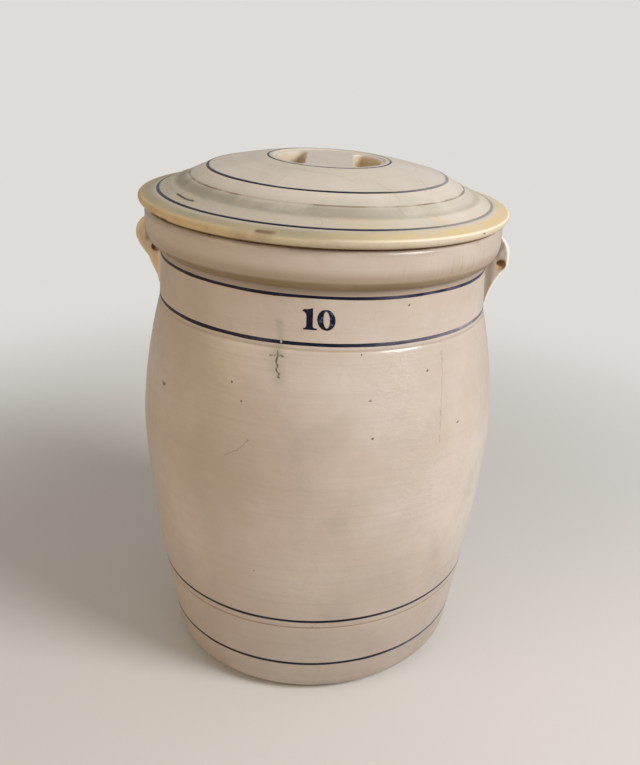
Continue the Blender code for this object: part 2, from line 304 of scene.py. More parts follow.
# The jar, in metres: the outside and inside of the wall, the collar and the foot
crock = {
    "height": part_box("crock_body")[1].z,
    "baseRadius": 0.1605,
    "bellyRadius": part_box("crock_body")[1].x,
    "bellyHeight": 0.266,
    "shoulderRadius": 0.1700,
    "shoulderHeight": 0.400,
    "neckRadius": 0.1676,
    "wall": 0.015,
    "lowerBow": 1.50,
    "upperBow": 1.75,
    "collarFoot": 0.454,
    "collarRadius": 0.1815,
    "collarUndercut": 0.0215,
    "collarLip": 0.485,
    "rimRound": 0.006,
    "rimEdge": 0.0035,
    "footRound": 0.021,
    "footRing": 0.022,
    "footRecess": 0.003,
    "floorHeight": 0.022,
    "floorCrown": 0.005,
    "floorFillet": 0.008,
    "floorStep": 0.014,
    "ledgeHeight": 0.058,
    "ledgeWidth": 0.0058,  # under the false bottom
    "plateGap": 0.0022,  # between the false bottom and the narrowest place of the wall over it
    "grooves": ((0.0941, 0.0009, 0.0009), (0.3970, 0.0009, 0.0015)),  # height, depth and half width
    "steps": 256,
    "rowStep": 0.0014,
    "insideStep": 0.009,
    "insideRidges": (0.09, 0.47),  # the heights between which the inside is ridged
    "insideWeight": 0.6,
    "collarRidges": 0.3,  # what stays of the ridges on the collar
    "ridgeFade": 0.02,
    "ripple": 0.00030,
    "ripplePitch": 0.016,
    "rippleSeed": 3.0,
}

outlet = {
    "height": 0.036,
    "radius": 0.0120,
    "taper": 0.055,
    "bossRadius": 0.029,
    "bossStandout": 0.006,
    "bossBlend": 0.0042,
    "lip": 0.0016,
    "steps": 48,
}


def within(value):
    return max(0.0, min(1.0, value))


def wallRadius(height):
    belly, middle, shoulder = crock["bellyRadius"], crock["bellyHeight"], crock["shoulderHeight"]
    if height <= middle:
        share = min(1.0, (middle - height) / (middle - crock["footRound"]))
        return belly - (belly - crock["baseRadius"]) * share ** crock["lowerBow"]
    if height <= shoulder:
        share = (height - middle) / (shoulder - middle)
        return belly - (belly - crock["shoulderRadius"]) * share ** crock["upperBow"]
    share = min(1.0, (height - shoulder) / (crock["collarFoot"] - shoulder))
    return crock["shoulderRadius"] + (crock["neckRadius"] - crock["shoulderRadius"]) * share


def outerRadius(height):
    # The outside, with the round of the foot and the collar
    if height < crock["footRound"]:
        drop = crock["footRound"] - max(0.0, height)
        return crock["baseRadius"] - crock["footRound"] + math.sqrt(crock["footRound"] ** 2 - drop**2)
    if height > crock["collarFoot"]:
        drop = max(0.0, crock["collarFoot"] + crock["collarUndercut"] - height) / crock["collarUndercut"]
        return crock["neckRadius"] + (crock["collarRadius"] - crock["neckRadius"]) * math.sqrt(1 - drop**2)
    return wallRadius(height)


mouthRadius = crock["neckRadius"] - crock["wall"]
plateRadius = min(wallRadius(crock["ledgeHeight"]) - crock["wall"], mouthRadius) - crock["plateGap"]
sumpRadius = plateRadius - crock["ledgeWidth"]
bossFace = wallRadius(outlet["height"]) + outlet["bossStandout"]


def arc(middle, radii, start, end, points):
    # radii is one radius, or those across and up
    across, up = radii if isinstance(radii, tuple) else (radii, radii)
    angles = [math.radians(start + (end - start) * i / points) for i in range(points + 1)]
    return [(middle[0] + across * math.cos(a), middle[1] + up * math.sin(a)) for a in angles]


def spread(low, high, points):
    return [low + (high - low) * i / points for i in range(points + 1)]


def hump(place, middle, height, wide):
    return height * math.exp(-(((place - middle) / wide) ** 2))


def spaced(points, step):
    # The same line with a point every step
    found, left = [points[0]], step
    for (x0, y0), (x1, y1) in zip(points, points[1:]):
        length, done = math.hypot(x1 - x0, y1 - y0), 0.0
        while length - done >= left:
            done += left
            found.append((x0 + (x1 - x0) * done / length, y0 + (y1 - y0) * done / length))
            left = step
        left -= length - done
    if math.dist(found[-1], points[-1]) > step * 0.3:
        found.append(points[-1])
    else:
        found[-1] = points[-1]
    return found


def softened(points, passes):
    for _ in range(passes):
        threes = zip(points, points[1:], points[2:])
        inner = [((a[0] + 2 * b[0] + c[0]) / 4, (a[1] + 2 * b[1] + c[1]) / 4) for a, b, c in threes]
        points = points[:1] + inner + points[-1:]
    return points


def withRowsAt(points, heights):
    # Adds points where the line crosses these heights
    found = points[:1]
    for (x0, y0), (x1, y1) in zip(points, points[1:]):
        crossed = [h for h in heights if min(y0, y1) + 1e-5 < h < max(y0, y1) - 1e-5]
        for h in sorted(crossed, reverse=y1 < y0):
            found.append((x0 + (x1 - x0) * (h - y0) / (y1 - y0), h))
        found.append((x1, y1))
    return found


def ridgeWeight(height):
    # How far the throwing ridges show: none at the foot and on the rim
    if height > crock["collarLip"]:
        return 0.0
    if height > crock["collarFoot"]:
        return max(crock["collarRidges"], 1 - (height - crock["collarFoot"]) / crock["ridgeFade"])
    return within((height - crock["footRing"]) / crock["ridgeFade"])


def crockOutside():
    # From the rim down to the foot
    edge, neck, undercut = crock["rimEdge"], crock["neckRadius"], crock["collarUndercut"]
    line = [(mouthRadius + crock["rimRound"], crock["height"])]
    line += arc((crock["collarRadius"] - edge, crock["height"] - edge), edge, 90, 0, 10)
    line += arc((neck, crock["collarFoot"] + undercut), (crock["collarRadius"] - neck, undercut), 0, -88, 24)
    line += [(wallRadius(h), h) for h in spread(crock["collarFoot"], crock["footRound"], 160)]
    line = softened(spaced(line, crock["rowStep"]), 3)[::2]
    rows = []
    for height, _, wide in crock["grooves"]:
        rows += [height + part * wide * 0.6 for part in (-4, -2.4, -1.2, 0, 1.2, 2.4, 4)]
    cut = []
    for radius, height in withRowsAt(line, rows):
        for middle, depth, wide in crock["grooves"]:
            radius -= hump(height, middle, depth, wide)
        cut.append((radius, height))
    return cut


def crockInside():
    # From the middle of the floor, over the ledge and up to the mouth
    fillet, ledge, rim = crock["floorFillet"], crock["ledgeHeight"], crock["rimRound"]
    corner = arc((sumpRadius - fillet, crock["floorHeight"] + fillet), fillet, -90, 0, 8)
    floor = spaced([(0.0, crock["floorHeight"] + crock["floorCrown"]), corner[0]], crock["floorStep"])[:-1]
    step = [(sumpRadius, ledge - 0.0012), (sumpRadius + 0.0005, ledge)]
    wall = [(wallRadius(h) - crock["wall"], h) for h in spread(ledge, crock["shoulderHeight"], 40)]
    wall = spaced(wall + [(mouthRadius, crock["collarFoot"])], crock["insideStep"])
    return floor + corner + step + wall + arc((mouthRadius + rim, crock["height"] - rim), rim, 180, 90, 8)[:-1]


def crockFoot():
    foot, recess = crock["baseRadius"] - crock["footRound"], crock["footRecess"]
    ring = foot - crock["footRing"]
    line = arc((foot, crock["footRound"]), crock["footRound"], 0, -90, 16)[1:]
    line += [(ring + 0.001, 0.0), (ring - 0.0005, 0.0008), (ring - recess, recess)]
    return line + [(radius, recess) for radius in (0.09, 0.06, 0.03, 0.0)]


def newTree(title, inputs, output):
    # A geometry tree, a bench for it and its named inputs as wires
    tree = bpy.data.node_groups.new(title, "GeometryNodeTree")
    tree.is_modifier = True
    for name, kind in inputs.items():
        tree.interface.new_socket(name, in_out="INPUT", socket_type="NodeSocket" + kind)
    tree.interface.new_socket(output, in_out="OUTPUT", socket_type="NodeSocketGeometry")
    bench = Bench(tree)
    return tree, bench, bench.add("NodeGroupInput", out=tuple(range(len(inputs))))


def wheelTree():
    # Turns a line in the XZ plane round +Z, as the wheel does,
    # with throwing ridges on the outside and edges that waver
    inputs = {"Line": "Geometry", "Steps": "Int"}
    inputs.update(dict.fromkeys(("Ridge height", "Ridge pitch", "Waver", "Ridge seed", "Waver seed"), "Float"))
    inputs.update({"Outside": "Material", "Inside": "Material"})
    tree, bench, given = newTree("Thrown on the wheel", inputs, "Turned")
    line, steps, ridge, pitch, waver, ridgeSeed, waverSeed, outside, inside = given

    def named(kind, name):
        return bench.add("GeometryNodeInputNamedAttribute", {"data_type": kind}, {"Name": name}, "Attribute")

    def ofLine(kind, value, index):
        values = {"Geometry": line, "Value": value, "Index": index}
        return bench.add("GeometryNodeSampleIndex", {"data_type": kind, "domain": "POINT"}, values)

    rows = bench.add("GeometryNodeAttributeDomainSize", {"component": "MESH"}, {0: line}, "Point Count")
    columns = steps + 1
    grid = bench.add("GeometryNodeMeshGrid", None, {"Vertices X": rows, "Vertices Y": columns}, "Mesh")
    index = bench.add("GeometryNodeInputIndex")
    row = bench.maths("FLOOR", (index + 0.5) / columns)
    angle = (index - row * columns) / steps * (2 * math.pi)
    cosine, sine = bench.maths("COSINE", angle), bench.maths("SINE", angle)

    def roundNoise(around, up, seed, detail):
        ring = bench.joined(cosine * around, sine * around, up)
        values = {"Vector": ring, "W": seed, "Scale": 1.0, "Detail": detail}
        return bench.add("ShaderNodeTexNoise", {"noise_dimensions": "4D"}, values)

    radius, _, height = bench.split(ofLine("FLOAT_VECTOR", bench.add("GeometryNodeInputPosition"), row))
    slideOut, _, slideUp = bench.split(ofLine("FLOAT_VECTOR", named("FLOAT_VECTOR", "slide"), row))
    ridged = ofLine("FLOAT", named("FLOAT", "ridged"), row)
    swell = roundNoise(0.5, height / pitch, ridgeSeed, 2.0)
    sway = (roundNoise(2.4, height * 130, waverSeed, 3.0) - 0.5) * waver
    radius = radius - ridged * ridge * swell + slideOut * sway
    placed = bench.joined(cosine * radius, sine * radius, height + slideUp * sway)
    turned = bench.add("GeometryNodeSetPosition", None, {"Geometry": grid, "Position": placed})
    face = bench.maths("FLOOR", (index + 0.5) / steps)
    lined = ofLine("FLOAT", named("FLOAT", "lined"), face)
    kept = {"data_type": "FLOAT", "domain": "FACE"}
    values = {"Geometry": turned, "Name": "lined", "Value": lined}
    turned = bench.add("GeometryNodeStoreNamedAttribute", kept, values)
    turned = bench.add("GeometryNodeMergeByDistance", None, {"Geometry": turned, "Distance": 0.00002})
    turned = bench.add("GeometryNodeSetShadeSmooth", None, {"Geometry": turned})
    turned = bench.add("GeometryNodeRealizeInstances", None, {"Geometry": turned})
    turned = bench.add("GeometryNodeSetMaterial", None, {"Geometry": turned, "Material": outside})
    above = {"data_type": "FLOAT", "operation": "GREATER_THAN"}
    isInside = bench.add("FunctionNodeCompare", above, {0: named("FLOAT", "lined"), 1: 0.5})
    values = {"Geometry": turned, "Selection": isInside, "Material": inside}
    bench.add("NodeGroupOutput", None, {0: bench.add("GeometryNodeSetMaterial", None, values)}, ())
    return tree


wheel = wheelTree()


def newPiece(name, data):
    made = bpy.data.objects.new(name, data)
    scene.collection.objects.link(made)
    return made


def evaluated(made):
    bpy.context.view_layer.update()
    return bpy.data.meshes.new_from_object(made.evaluated_get(bpy.context.evaluated_depsgraph_get()))


def settled(made):
    # Keeps what the modifiers make of an object as a plain mesh, without empty material slots
    mesh = evaluated(made)
    made.modifiers.clear()
    for slot in reversed(range(len(mesh.materials))):
        if mesh.materials[slot] is None:
            mesh.materials.pop(index=slot)
    old, made.data = made.data, mesh
    mesh.name = made.name
    bpy.data.meshes.remove(old)
    return made


def applied(made, tree, inputs):
    step = made.modifiers.new(tree.name, "NODES")
    step.node_group = tree
    names = {item.name: item.identifier for item in tree.interface.items_tree if item.in_out == "INPUT"}
    for name, value in inputs.items():
        step[names[name]] = value
    return settled(made)


def carved(made, cutter):
    step = made.modifiers.new(cutter.name, "BOOLEAN")
    step.operation = "DIFFERENCE"
    step.solver = "EXACT"
    step.object = cutter
    settled(made)
    bpy.data.objects.remove(cutter)


@contextmanager
def editing(mesh):
    edit = bmesh.new()
    edit.from_mesh(mesh)
    yield edit
    edit.to_mesh(mesh)
    edit.free()


def tidied(made, merge=0.0):
    # Doubles are merged first, then the faces turned outwards
    with editing(made.data) as edit:
        if merge:
            bmesh.ops.remove_doubles(edit, verts=edit.verts, dist=merge)
        bmesh.ops.recalc_face_normals(edit, faces=edit.faces)
    return made


def lofted(name, rings):
    # A closed solid through rings of places
    mesh = bpy.data.meshes.new(name)
    with editing(mesh) as edit:
        loops = [[edit.verts.new(place) for place in ring] for ring in rings]
        for upper, lower in zip(loops, loops[1:]):
            for i in range(len(upper)):
                j = (i + 1) % len(upper)
                edit.faces.new((upper[i], upper[j], lower[j], lower[i]))
        edit.faces.new(loops[0])
        edit.faces.new(loops[-1])
        bmesh.ops.recalc_face_normals(edit, faces=edit.faces)
    return newPiece(name, mesh)


def cutOut(name, outlines, **settings):
    # A slab with these outlines in the XY plane
    curve = bpy.data.curves.new(name, "CURVE")
    curve.dimensions, curve.fill_mode = "2D", "BOTH"
    for setting, value in settings.items():
        setattr(curve, setting, value)
    for outline in outlines:
        spline = curve.splines.new("POLY")
        spline.points.add(len(outline) - 1)
        for point, (x, y) in zip(spline.points, outline):
            point.co = (x, y, 0.0, 1.0)
        spline.use_cyclic_u = True
    flat = newPiece(name + "_flat", curve)
    mesh = evaluated(flat)
    bpy.data.objects.remove(flat)
    return newPiece(name, mesh)


def thrown(name, line, look, inside=None, lined=None, ridged=None, slide=None, steps=256, seed=1.0, waver=0.0):
    # lined, ridged and slide hold a value for each point of the line
    mesh = bpy.data.meshes.new(name)
    mesh.from_pydata([(x, 0.0, z) for x, z in line], [(i, i + 1) for i in range(len(line) - 1)], [])
    for label, values in (("lined", lined), ("ridged", ridged)):
        mark = mesh.attributes.new(label, "FLOAT", "POINT")
        mark.data.foreach_set("value", values or [0.0] * len(line))
    mark = mesh.attributes.new("slide", "FLOAT_VECTOR", "POINT")
    slide = slide or [(0.0, 0.0)] * len(line)
    mark.data.foreach_set("vector", [part for out, up in slide for part in (out, 0.0, up)])
    inputs = {
        "Steps": steps,
        "Ridge height": crock["ripple"],
        "Ridge pitch": crock["ripplePitch"],
        "Waver": waver,
        "Ridge seed": crock["rippleSeed"],
        "Waver seed": seed,
        "Outside": look,
        "Inside": inside or look,
    }
    made = applied(newPiece(name, mesh), wheel, inputs)
    for label in ("lined", "ridged", "slide"):
        if label in made.data.attributes:
            made.data.attributes.remove(made.data.attributes[label])
    return tidied(made)


def layOnOutlet(made):
    # A piece turned round +Z is laid on the outlet's axis, +Y
    made.data.transform(Matrix.Translation((0.0, 0.0, outlet["height"])) @ Matrix.Rotation(-math.pi / 2, 4, "X"))
    return made


jarColors = {
    "pale": tone(212, 199, 188),
    "warm": tone(192, 174, 157),
    "grey": tone(168, 158, 149),
    "speck": tone(92, 70, 50),
}
jarMarks = {
    "stain": tone(150, 122, 86),
    "oliveStainAndShade": tone(128, 106, 62),
    "neck": tone(132, 118, 106),
    "paintedShade": tone(128, 114, 102),
    "leftShade": tone(176, 148, 112),
    "crack": tone(58, 62, 38),
    "chip": tone(96, 66, 44),
    "bloom": tone(160, 158, 134),
    # Bands round the wall: middle height, width and softness
    "greaseAndShadeBand": (0.460, 0.012, 0.012),
    "dirtAndShadeBand": (0.4578, 0.0060, 0.0040),
    "underCollarShadeBand": (0.4514, 0.0050, 0.0012),
    "dripBand": (0.469, 0.018, 0.008),
    "grooveStainAndShadeShares": (0.75, 0.34),
    # Where a mark starts and where it is full
    "leftShadeAcross": (-0.15, 0.05),
    "dripsAcross": (0.02, 0.10),
    "lip": (0.485, 0.4925),
    "seat": (0.4921, 0.4926),
    "lowDirtAndShade": (0.0, 0.05),
    "lowShade": (0.02, 0.24),
    # Seen from the front: places across and up
    "crackTop": ((-0.0393, 0.4215), (-0.0386, 0.4158), (-0.0380, 0.4090), (-0.0377, 0.4038), (-0.0405, 0.3935)),
    "crackLow": (
        (-0.0405, 0.3935), (-0.0396, 0.3902), (-0.0407, 0.3878), (-0.0413, 0.3836), (-0.0401, 0.3812),
        (-0.0411, 0.3775), (-0.0391, 0.3747), (-0.0386, 0.3706),
    ),
    "tick": ((-0.0475, 0.3899), (-0.0415, 0.3908), (-0.0352, 0.3902)),
    "crinkled": ((0.0700, 0.3650), (0.1050, 0.2350)),
    "hairline": ((-0.0882, 0.2882), (-0.0749, 0.2974), (-0.0655, 0.3086)),
    "upright": ((0.1129, 0.3880), (0.1149, 0.3660), (0.1155, 0.3436), (0.1161, 0.3205), (0.1163, 0.2980)),
    "specks": (  # across, up and size
        (0.0490, 0.3150, 0.0011), (0.0988, 0.3726, 0.0012), (0.1356, 0.3119, 0.0008), (0.0450, 0.3522, 0.0007),
        (0.0344, 0.3942, 0.0008), (-0.0816, 0.3593, 0.0009), (-0.0727, 0.3438, 0.0008), (-0.1530, 0.3314, 0.0016),
        (0.0770, 0.4380, 0.0009),
    ),
}
linerColors = {
    "pale": tone(196, 176, 146),
    "warm": tone(178, 150, 116),
    "grey": tone(160, 146, 122),
    "speck": tone(92, 66, 44),
    "tide": tone(132, 104, 72),
    "deep": tone(136, 110, 78),
    "tideBand": (0.40, 0.012, 0.02),
}


def jarLook():
    look = Look("Jar glaze")
    at, x, z = look.at, look.x, look.z
    glazed(look, jarColors, 0.07)
    # Glaze runs down the wall in faint streaks, and the left side is painted browner as shade
    blotted = look.noise(at, 11.0)
    look.lay(look.rise(look.noise(at, (42.0, 42.0, 5.0)), 0.5, 0.8) * 0.22, jarColors["warm"])
    look.lay(look.fall(x + blotted * 0.04, *jarMarks["leftShadeAcross"]) * 0.34, jarMarks["leftShade"])
    # Grease and dust under the collar with painted shade there, stain and painted shade along the grooves, dust and
    # painted shade towards the foot
    blot = look.noise(at, (14.0, 14.0, 40.0), 4.0, 0.6)
    look.lay(look.band(z, *jarMarks["greaseAndShadeBand"]) * 0.55, jarMarks["stain"])
    # The band under the collar's overhang is olive stain and painted shade
    under = look.band(z, *jarMarks["dirtAndShadeBand"]) * (0.7 + 0.3 * look.rise(blot, 0.25, 0.62))
    look.lay(under * 0.90, jarMarks["oliveStainAndShade"])
    # Painted shade on the neck, in the strip under the collar
    look.lay(look.band(z, *jarMarks["underCollarShadeBand"]) * 0.42, jarMarks["neck"])
    drips = look.rise(look.noise(at, (380.0, 380.0, 20.0), 2.0), 0.52, 0.72)
    drips = drips * look.rise(x, *jarMarks["dripsAcross"])
    look.lay(drips * look.band(z, *jarMarks["dripBand"]) * 0.30, jarMarks["stain"])
    # Painted shadow of the lid on the top of the collar
    look.lay(look.rise(z, *jarMarks["lip"]) * look.rise(blot, 0.3, 0.6) * 0.55, jarMarks["paintedShade"])
    # The lower groove holds brown stain; the upper one, under the shoulder line, is painted with shade
    for groove, share in zip(crock["grooves"], jarMarks["grooveStainAndShadeShares"]):
        look.lay(look.band(z, groove[0], 0.0009, 0.0008) * share, jarMarks["stain"])
    # Dust and painted shade on the lowest part of the wall, and more painted shade darkening towards the bottom
    low = look.fall(z, *jarMarks["lowDirtAndShade"]) * look.rise(blot, 0.35, 0.7)
    look.lay(low * 0.35, jarMarks["stain"])
    look.lay(look.fall(z + blotted * 0.06, *jarMarks["lowShade"]) * 0.34, jarMarks["paintedShade"])
    # Thick glaze has crinkled, most of all in a streak on the right of the front
    flat = (1.0, 0.0, 1.0)
    front = look.fall(look.y, -0.02, 0.0)
    crinkle = look.noise(look.stretched(look.shaken(at, 60.0, 0.006), (1.0, 1.0, 2.2)), 160.0)
    (x0, z0), (x1, z1) = jarMarks["crinkled"]
    streak = look.farFromLine(look.stretched(at, flat), (x0, 0.0, z0), (x1, 0.0, z1))
    thick = most(look.fall(streak, 0.008, 0.050) * front, look.rise(blotted, 0.50, 0.64) * 0.3)
    look.height = look.height + crinkle * thick * 0.0007
    # The crack in the glaze, a hairline and burst specks, laid on from the front
    loose = look.stretched(look.shaken(at, 260.0, 0.0034), flat)
    worn = look.rise(look.noise(at, 330.0, 3.0, 0.65), 0.40, 0.56)
    broken = look.rise(look.noise(at, 150.0, 2.0), 0.46, 0.60)

    def drawn(name, width, soft):
        return look.scratch(loose, [(across, 0.0, up) for across, up in jarMarks[name]], width, soft)

    crack = front * most(
        drawn("crackLow", 0.0008, 0.0009) * (0.62 + 0.38 * worn),
        drawn("crackTop", 0.0004, 0.0011) * worn * broken * 0.40,
        drawn("tick", 0.0006, 0.0009) * (0.35 + 0.45 * worn),
    )
    look.lay(drawn("crackLow", 0.002, 0.010) * front * 0.40, jarMarks["bloom"])
    look.lay(drawn("crackTop", 0.001, 0.005) * front * 0.45, jarMarks["bloom"])
    look.lay(crack * 0.88, jarMarks["crack"])
    hair = drawn("hairline", 0.0004, 0.0004) * front
    look.lay(hair * 0.42, jarMarks["chip"])
    look.lay(drawn("upright", 0.0004, 0.0007) * front * (0.4 + 0.6 * worn) * 0.30, jarMarks["chip"])
    burst = front * most(*(
        look.fall(look.farFrom(loose, (across, 0.0, up)), size * 0.8, size * 1.5)
        for across, up, size in jarMarks["specks"]
    ))
    look.lay(burst * 0.8, jarMarks["chip"])
    look.height = look.height - burst * 0.0004 - crack * 0.00025 - hair * 0.0001
    look.roughness = look.roughness + 0.30 * under + 0.3 * burst + 0.3 * crack + 0.2 * low
    # Bare clay on the rim's seat and under the foot
    sole = look.fall(z + blot * 0.0012, 0.0012, 0.0024)
    look.strip(most(look.rise(z, *jarMarks["seat"]), sole), *clayGround(look))
    return look.close(Specular_IOR_Level=0.5, Coat_Weight=0.25, Coat_Roughness=0.16)


def linerLook():
    # The inside of the jar, browner and stained by brine
    look = Look("Liner glaze")
    glazed(look, linerColors, 0.25, 1.4)
    wave = look.noise(look.at, (12.0, 12.0, 30.0), 4.0)
    look.lay(look.band(look.z + wave * 0.03, *linerColors["tideBand"]) * 0.4, linerColors["tide"])
    deep = look.fall(look.z, 0.03, 0.16)
    look.lay(deep * 0.45, linerColors["deep"])
    look.roughness = look.roughness + 0.12 * deep
    return look.close(Specular_IOR_Level=0.5)


def outletRadius(depth):
    return outlet["radius"] + outlet["taper"] * (depth - sumpRadius)


def raiseBoss(jar):
    # The outside of the wall round the outlet gets finer faces, then swells into a flat-faced boss
    reach = outlet["bossRadius"] + 2.2 * outlet["bossBlend"]

    def awayFromOutlet(place):
        return math.hypot(place.x, place.z - outlet["height"])

    def concerned(place):
        outside = place.y > 0.1 and math.hypot(place.x, place.y) > outerRadius(place.z) - 0.005
        return outside and awayFromOutlet(place) < reach

    with editing(jar.data) as edit:
        edges = list({edge for f in edit.faces if concerned(f.calc_center_median()) for edge in f.edges})
        bmesh.ops.subdivide_edges(edit, edges=edges, cuts=3, use_grid_fill=True)
        for vert in filter(lambda vert: concerned(vert.co), edit.verts):
            share = awayFromOutlet(vert.co) - outlet["bossRadius"] + outlet["bossBlend"] * 0.9
            share = within(share / (2.0 * outlet["bossBlend"]))
            vert.co.y += (bossFace - vert.co.y) * (1 - share * share * (3 - 2 * share))
    jar.data.shade_smooth()


def makeCrock():
    inside, outside, foot = crockInside(), crockOutside(), crockFoot()
    lined = [1.0] * (len(inside) - 1) + [0.0] * (len(outside) + len(foot) + 1)
    low, high = crock["insideRidges"]
    ridged = [crock["insideWeight"] if low < z < high else 0.0 for _, z in inside]
    ridged += [ridgeWeight(z) for _, z in outside] + [0.0] * len(foot)
    line = inside + outside + foot
    jar = thrown("crock_stoneware", line, jarLook(), linerLook(), lined, ridged, steps=crock["steps"], seed=3.0)
    raiseBoss(jar)
    inner, outer, lip = sumpRadius - 0.012, bossFace + 0.01, outlet["lip"]
    mouth = outletRadius(bossFace) + lip
    profile = [(0.0, outer), (mouth + 0.001, outer), (mouth, bossFace)]
    profile += arc((mouth, bossFace - lip), lip, 105, 180, 5)
    profile += [(outletRadius(sumpRadius), sumpRadius), (outletRadius(sumpRadius) + 0.001, inner), (0.0, inner)]
    carved(jar, layOnOutlet(thrown("bore", profile, jar.data.materials[0], steps=outlet["steps"])))
    return tidied(jar)


crockPiece = makeCrock()
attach(crockPiece, "jar")
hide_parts("crock_body")
print("jar thrown:", len(crockPiece.data.polygons), "faces")


# Cobalt lines: height on the wall or radius on the lid, and how wide the brush was
cobalt = {
    "deep": tone(9, 11, 28),
    "thin": tone(74, 82, 138),
    "pooled": tone(92, 102, 132),
    "turn": (0.02, 0.15),  # from where to where, going right, the lines are painted paler as light
    "missed": (-0.0373, 0.4034),  # where a chip broke the shoulder line
    "jarLines": (
        ("line_under_collar", 0.4464, 0.0031),
        ("line_shoulder", 0.4028, 0.0034),
        ("line_above_foot", 0.1033, 0.0030),
        ("line_foot", 0.0417, 0.0034),
    ),
    "lidLines": (
        ("line_lid_lip", 0.0617, 0.0023),
        ("line_lid_step", 0.1203, 0.0030),
        ("line_lid_rim", 0.1682, 0.0031),
    ),
    "lift": 0.00007,
    "depth": 0.0005,
    "waver": 0.0022 / 0.0026,  # how far the edges waver, as a share of the width
}


def cobaltLook(name, ground, thin, faded=0.0, blotched=0.0, missed=None):
    # Brushed cobalt under the glaze: thick where the brush was full, thin and pale where it ran dry, and painted
    # paler towards the right as light
    look = Look(name)
    at = look.at
    load = look.noise(at, (22.0, 22.0, 60.0), 4.0, 0.6)
    fleck = look.noise(at, 900.0, 2.0, 0.6)
    paintedLightRight = look.rise(look.x, *cobalt["turn"])
    thin = (0.16 + 0.84 * paintedLightRight) * thin
    look.color = look.mix((0.30 + 0.70 * look.rise(load, 0.42, 0.66)) * thin, cobalt["deep"], cobalt["thin"])
    look.lay(look.rise(load * 0.6 + fleck * 0.4, 0.50, 0.66) * thin * 0.60, ground)
    # The ground shows through more towards the right, as painted light
    look.lay(paintedLightRight * faded, ground)
    if blotched:
        pools = look.noise(look.shaken(at, 120.0, 0.004), 190.0, 3.0, 0.6)
        look.lay(look.rise(pools, 0.50, 0.62) * look.rise(look.x, -0.008, 0.0) * blotched, cobalt["pooled"])
        look.lay(look.fall(pools, 0.36, 0.46) * 0.6, cobalt["deep"])
    if missed:
        across, up = missed
        low = 0.6  # the chip is wider than high
        far = look.farFrom(look.stretched(look.shaken(at, 500.0, 0.001), (1.0, 0.0, low)), (across, 0.0, up * low))
        look.lay(look.fall(far, 0.0006, 0.0012) * look.fall(look.y, -0.01, 0.01) * 0.8, ground)
    look.roughness = 0.26 + 0.15 * fleck
    look.height = look.noise(at, glaze["peelScale"], 2.0) * glaze["peel"]
    return look.close(Specular_IOR_Level=0.2)


def brushedLine(name, surface, outward, along, width, look, body, seed, ridged=0.0):
    # A closed strip that lies on a turned surface. surface gives (radius, height) for a place on the profile
    depth, raised = cobalt["depth"], cobalt["lift"]
    tops = []
    for part, lift in ((-0.5, 0.0), (-0.25, raised), (0.0, raised), (0.25, raised), (0.5, 0.0)):
        (x, z), (nx, nz) = surface(along + width * part), outward(along + width * part)
        tops.append((x + nx * lift, z + nz * lift))
    nx, nz = outward(along)
    low = (tops[0][0] - nx * depth, tops[0][1] - nz * depth)
    high = (tops[-1][0] - nx * depth, tops[-1][1] - nz * depth)
    line = [low] + tops + [high, low]
    slides = [0.6 + 0.4 * weight for weight in (1.0, 1.0, 0.5, 0.0, -0.5, -1.0, -1.0, 1.0)]
    slide = [(-nz * part, nx * part) for part in slides]
    made = thrown(
        name,
        line,
        look,
        ridged=[ridged] * len(line),
        slide=slide,
        steps=crock["steps"],
        seed=seed,
        waver=cobalt["waver"] * width,
    )
    tidied(made, 0.000001)
    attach(made, body)


def squareTo(profile, place, reach):
    # Outwards from a profile: across its run first, then along it
    slope = (profile(place + reach) - profile(place - reach)) / (2 * reach)
    length = math.hypot(1.0, slope)
    return 1.0 / length, -slope / length


wallLine = crockOutside()


def onWall(height):
    # A place on the turned outside at this height
    for (x0, z0), (x1, z1) in zip(wallLine, wallLine[1:]):
        if z1 <= height <= z0:
            return (x0 + (x1 - x0) * (height - z0) / (z1 - z0), height)


def wallOutward(height):
    return squareTo(lambda place: onWall(place)[0], height, 0.0007)


jarCobalt = cobaltLook("Cobalt on the jar", jarColors["pale"], 0.90, 0.22, missed=cobalt["missed"])
fullCobalt = cobaltLook("Full brush of cobalt", jarColors["pale"], 0.40)
for number, (name, height, width) in enumerate(cobalt["jarLines"]):
    look = jarCobalt if name == "line_shoulder" else fullCobalt
    brushedLine(name, onWall, wallOutward, height, width, look, "jar", 5.0 + number, ridgeWeight(height))
print("lines brushed on the jar")


# The numeral: outlines in millimetres from its lower left corner
numeral = {
    "middleHeight": 0.4263,
    "left": -0.0193,  # along the wall from the front
    "bottom": 0.0098,  # below the middle
    "size": (0.031, 0.0205),
    "thickness": 0.001,
    "lift": 0.00008,
    "depth": 0.0004,
    "cell": 0.0015,
    "lean": 3.0,  # degrees
    "one": (
        (1.3, 0.0), (13.5, 0.0), (13.5, 1.3), (11.4, 1.7), (10.2, 2.3), (9.7, 3.4), (9.7, 20.0), (8.5, 20.0),
        (6.6, 19.3), (4.2, 18.9), (1.4, 18.8), (0.0, 17.1), (1.2, 16.7), (2.6, 15.7), (3.5, 14.4), (4.0, 13.0),
        (4.0, 3.4), (3.6, 2.3), (2.6, 1.6), (1.3, 1.3),
    ),
    # The nought's rounds: middle, radii and how square they are, across and up
    "rounds": (((21.6, 9.6), (8.05, 9.66), (1.0, 0.94)), ((21.8, 9.6), (2.8, 7.6), (0.9, 1.0))),
    "corners": 48,
}


def numeralOutlines():
    lean = math.tan(math.radians(numeral["lean"]))
    outlines = [numeral["one"]]
    for (middle, up), (wide, high), powers in numeral["rounds"]:
        ring = []
        for i in range(numeral["corners"]):
            a = 2 * math.pi * i / numeral["corners"]
            pairs = zip((math.cos(a), math.sin(a)), powers)
            px, py = (math.copysign(abs(part) ** power, part) for part, power in pairs)
            ring.append((middle + wide * px - lean * high * py, up + high * py))
        outlines.append(ring)
    return [[(x / 1000, y / 1000) for x, y in outline] for outline in outlines]


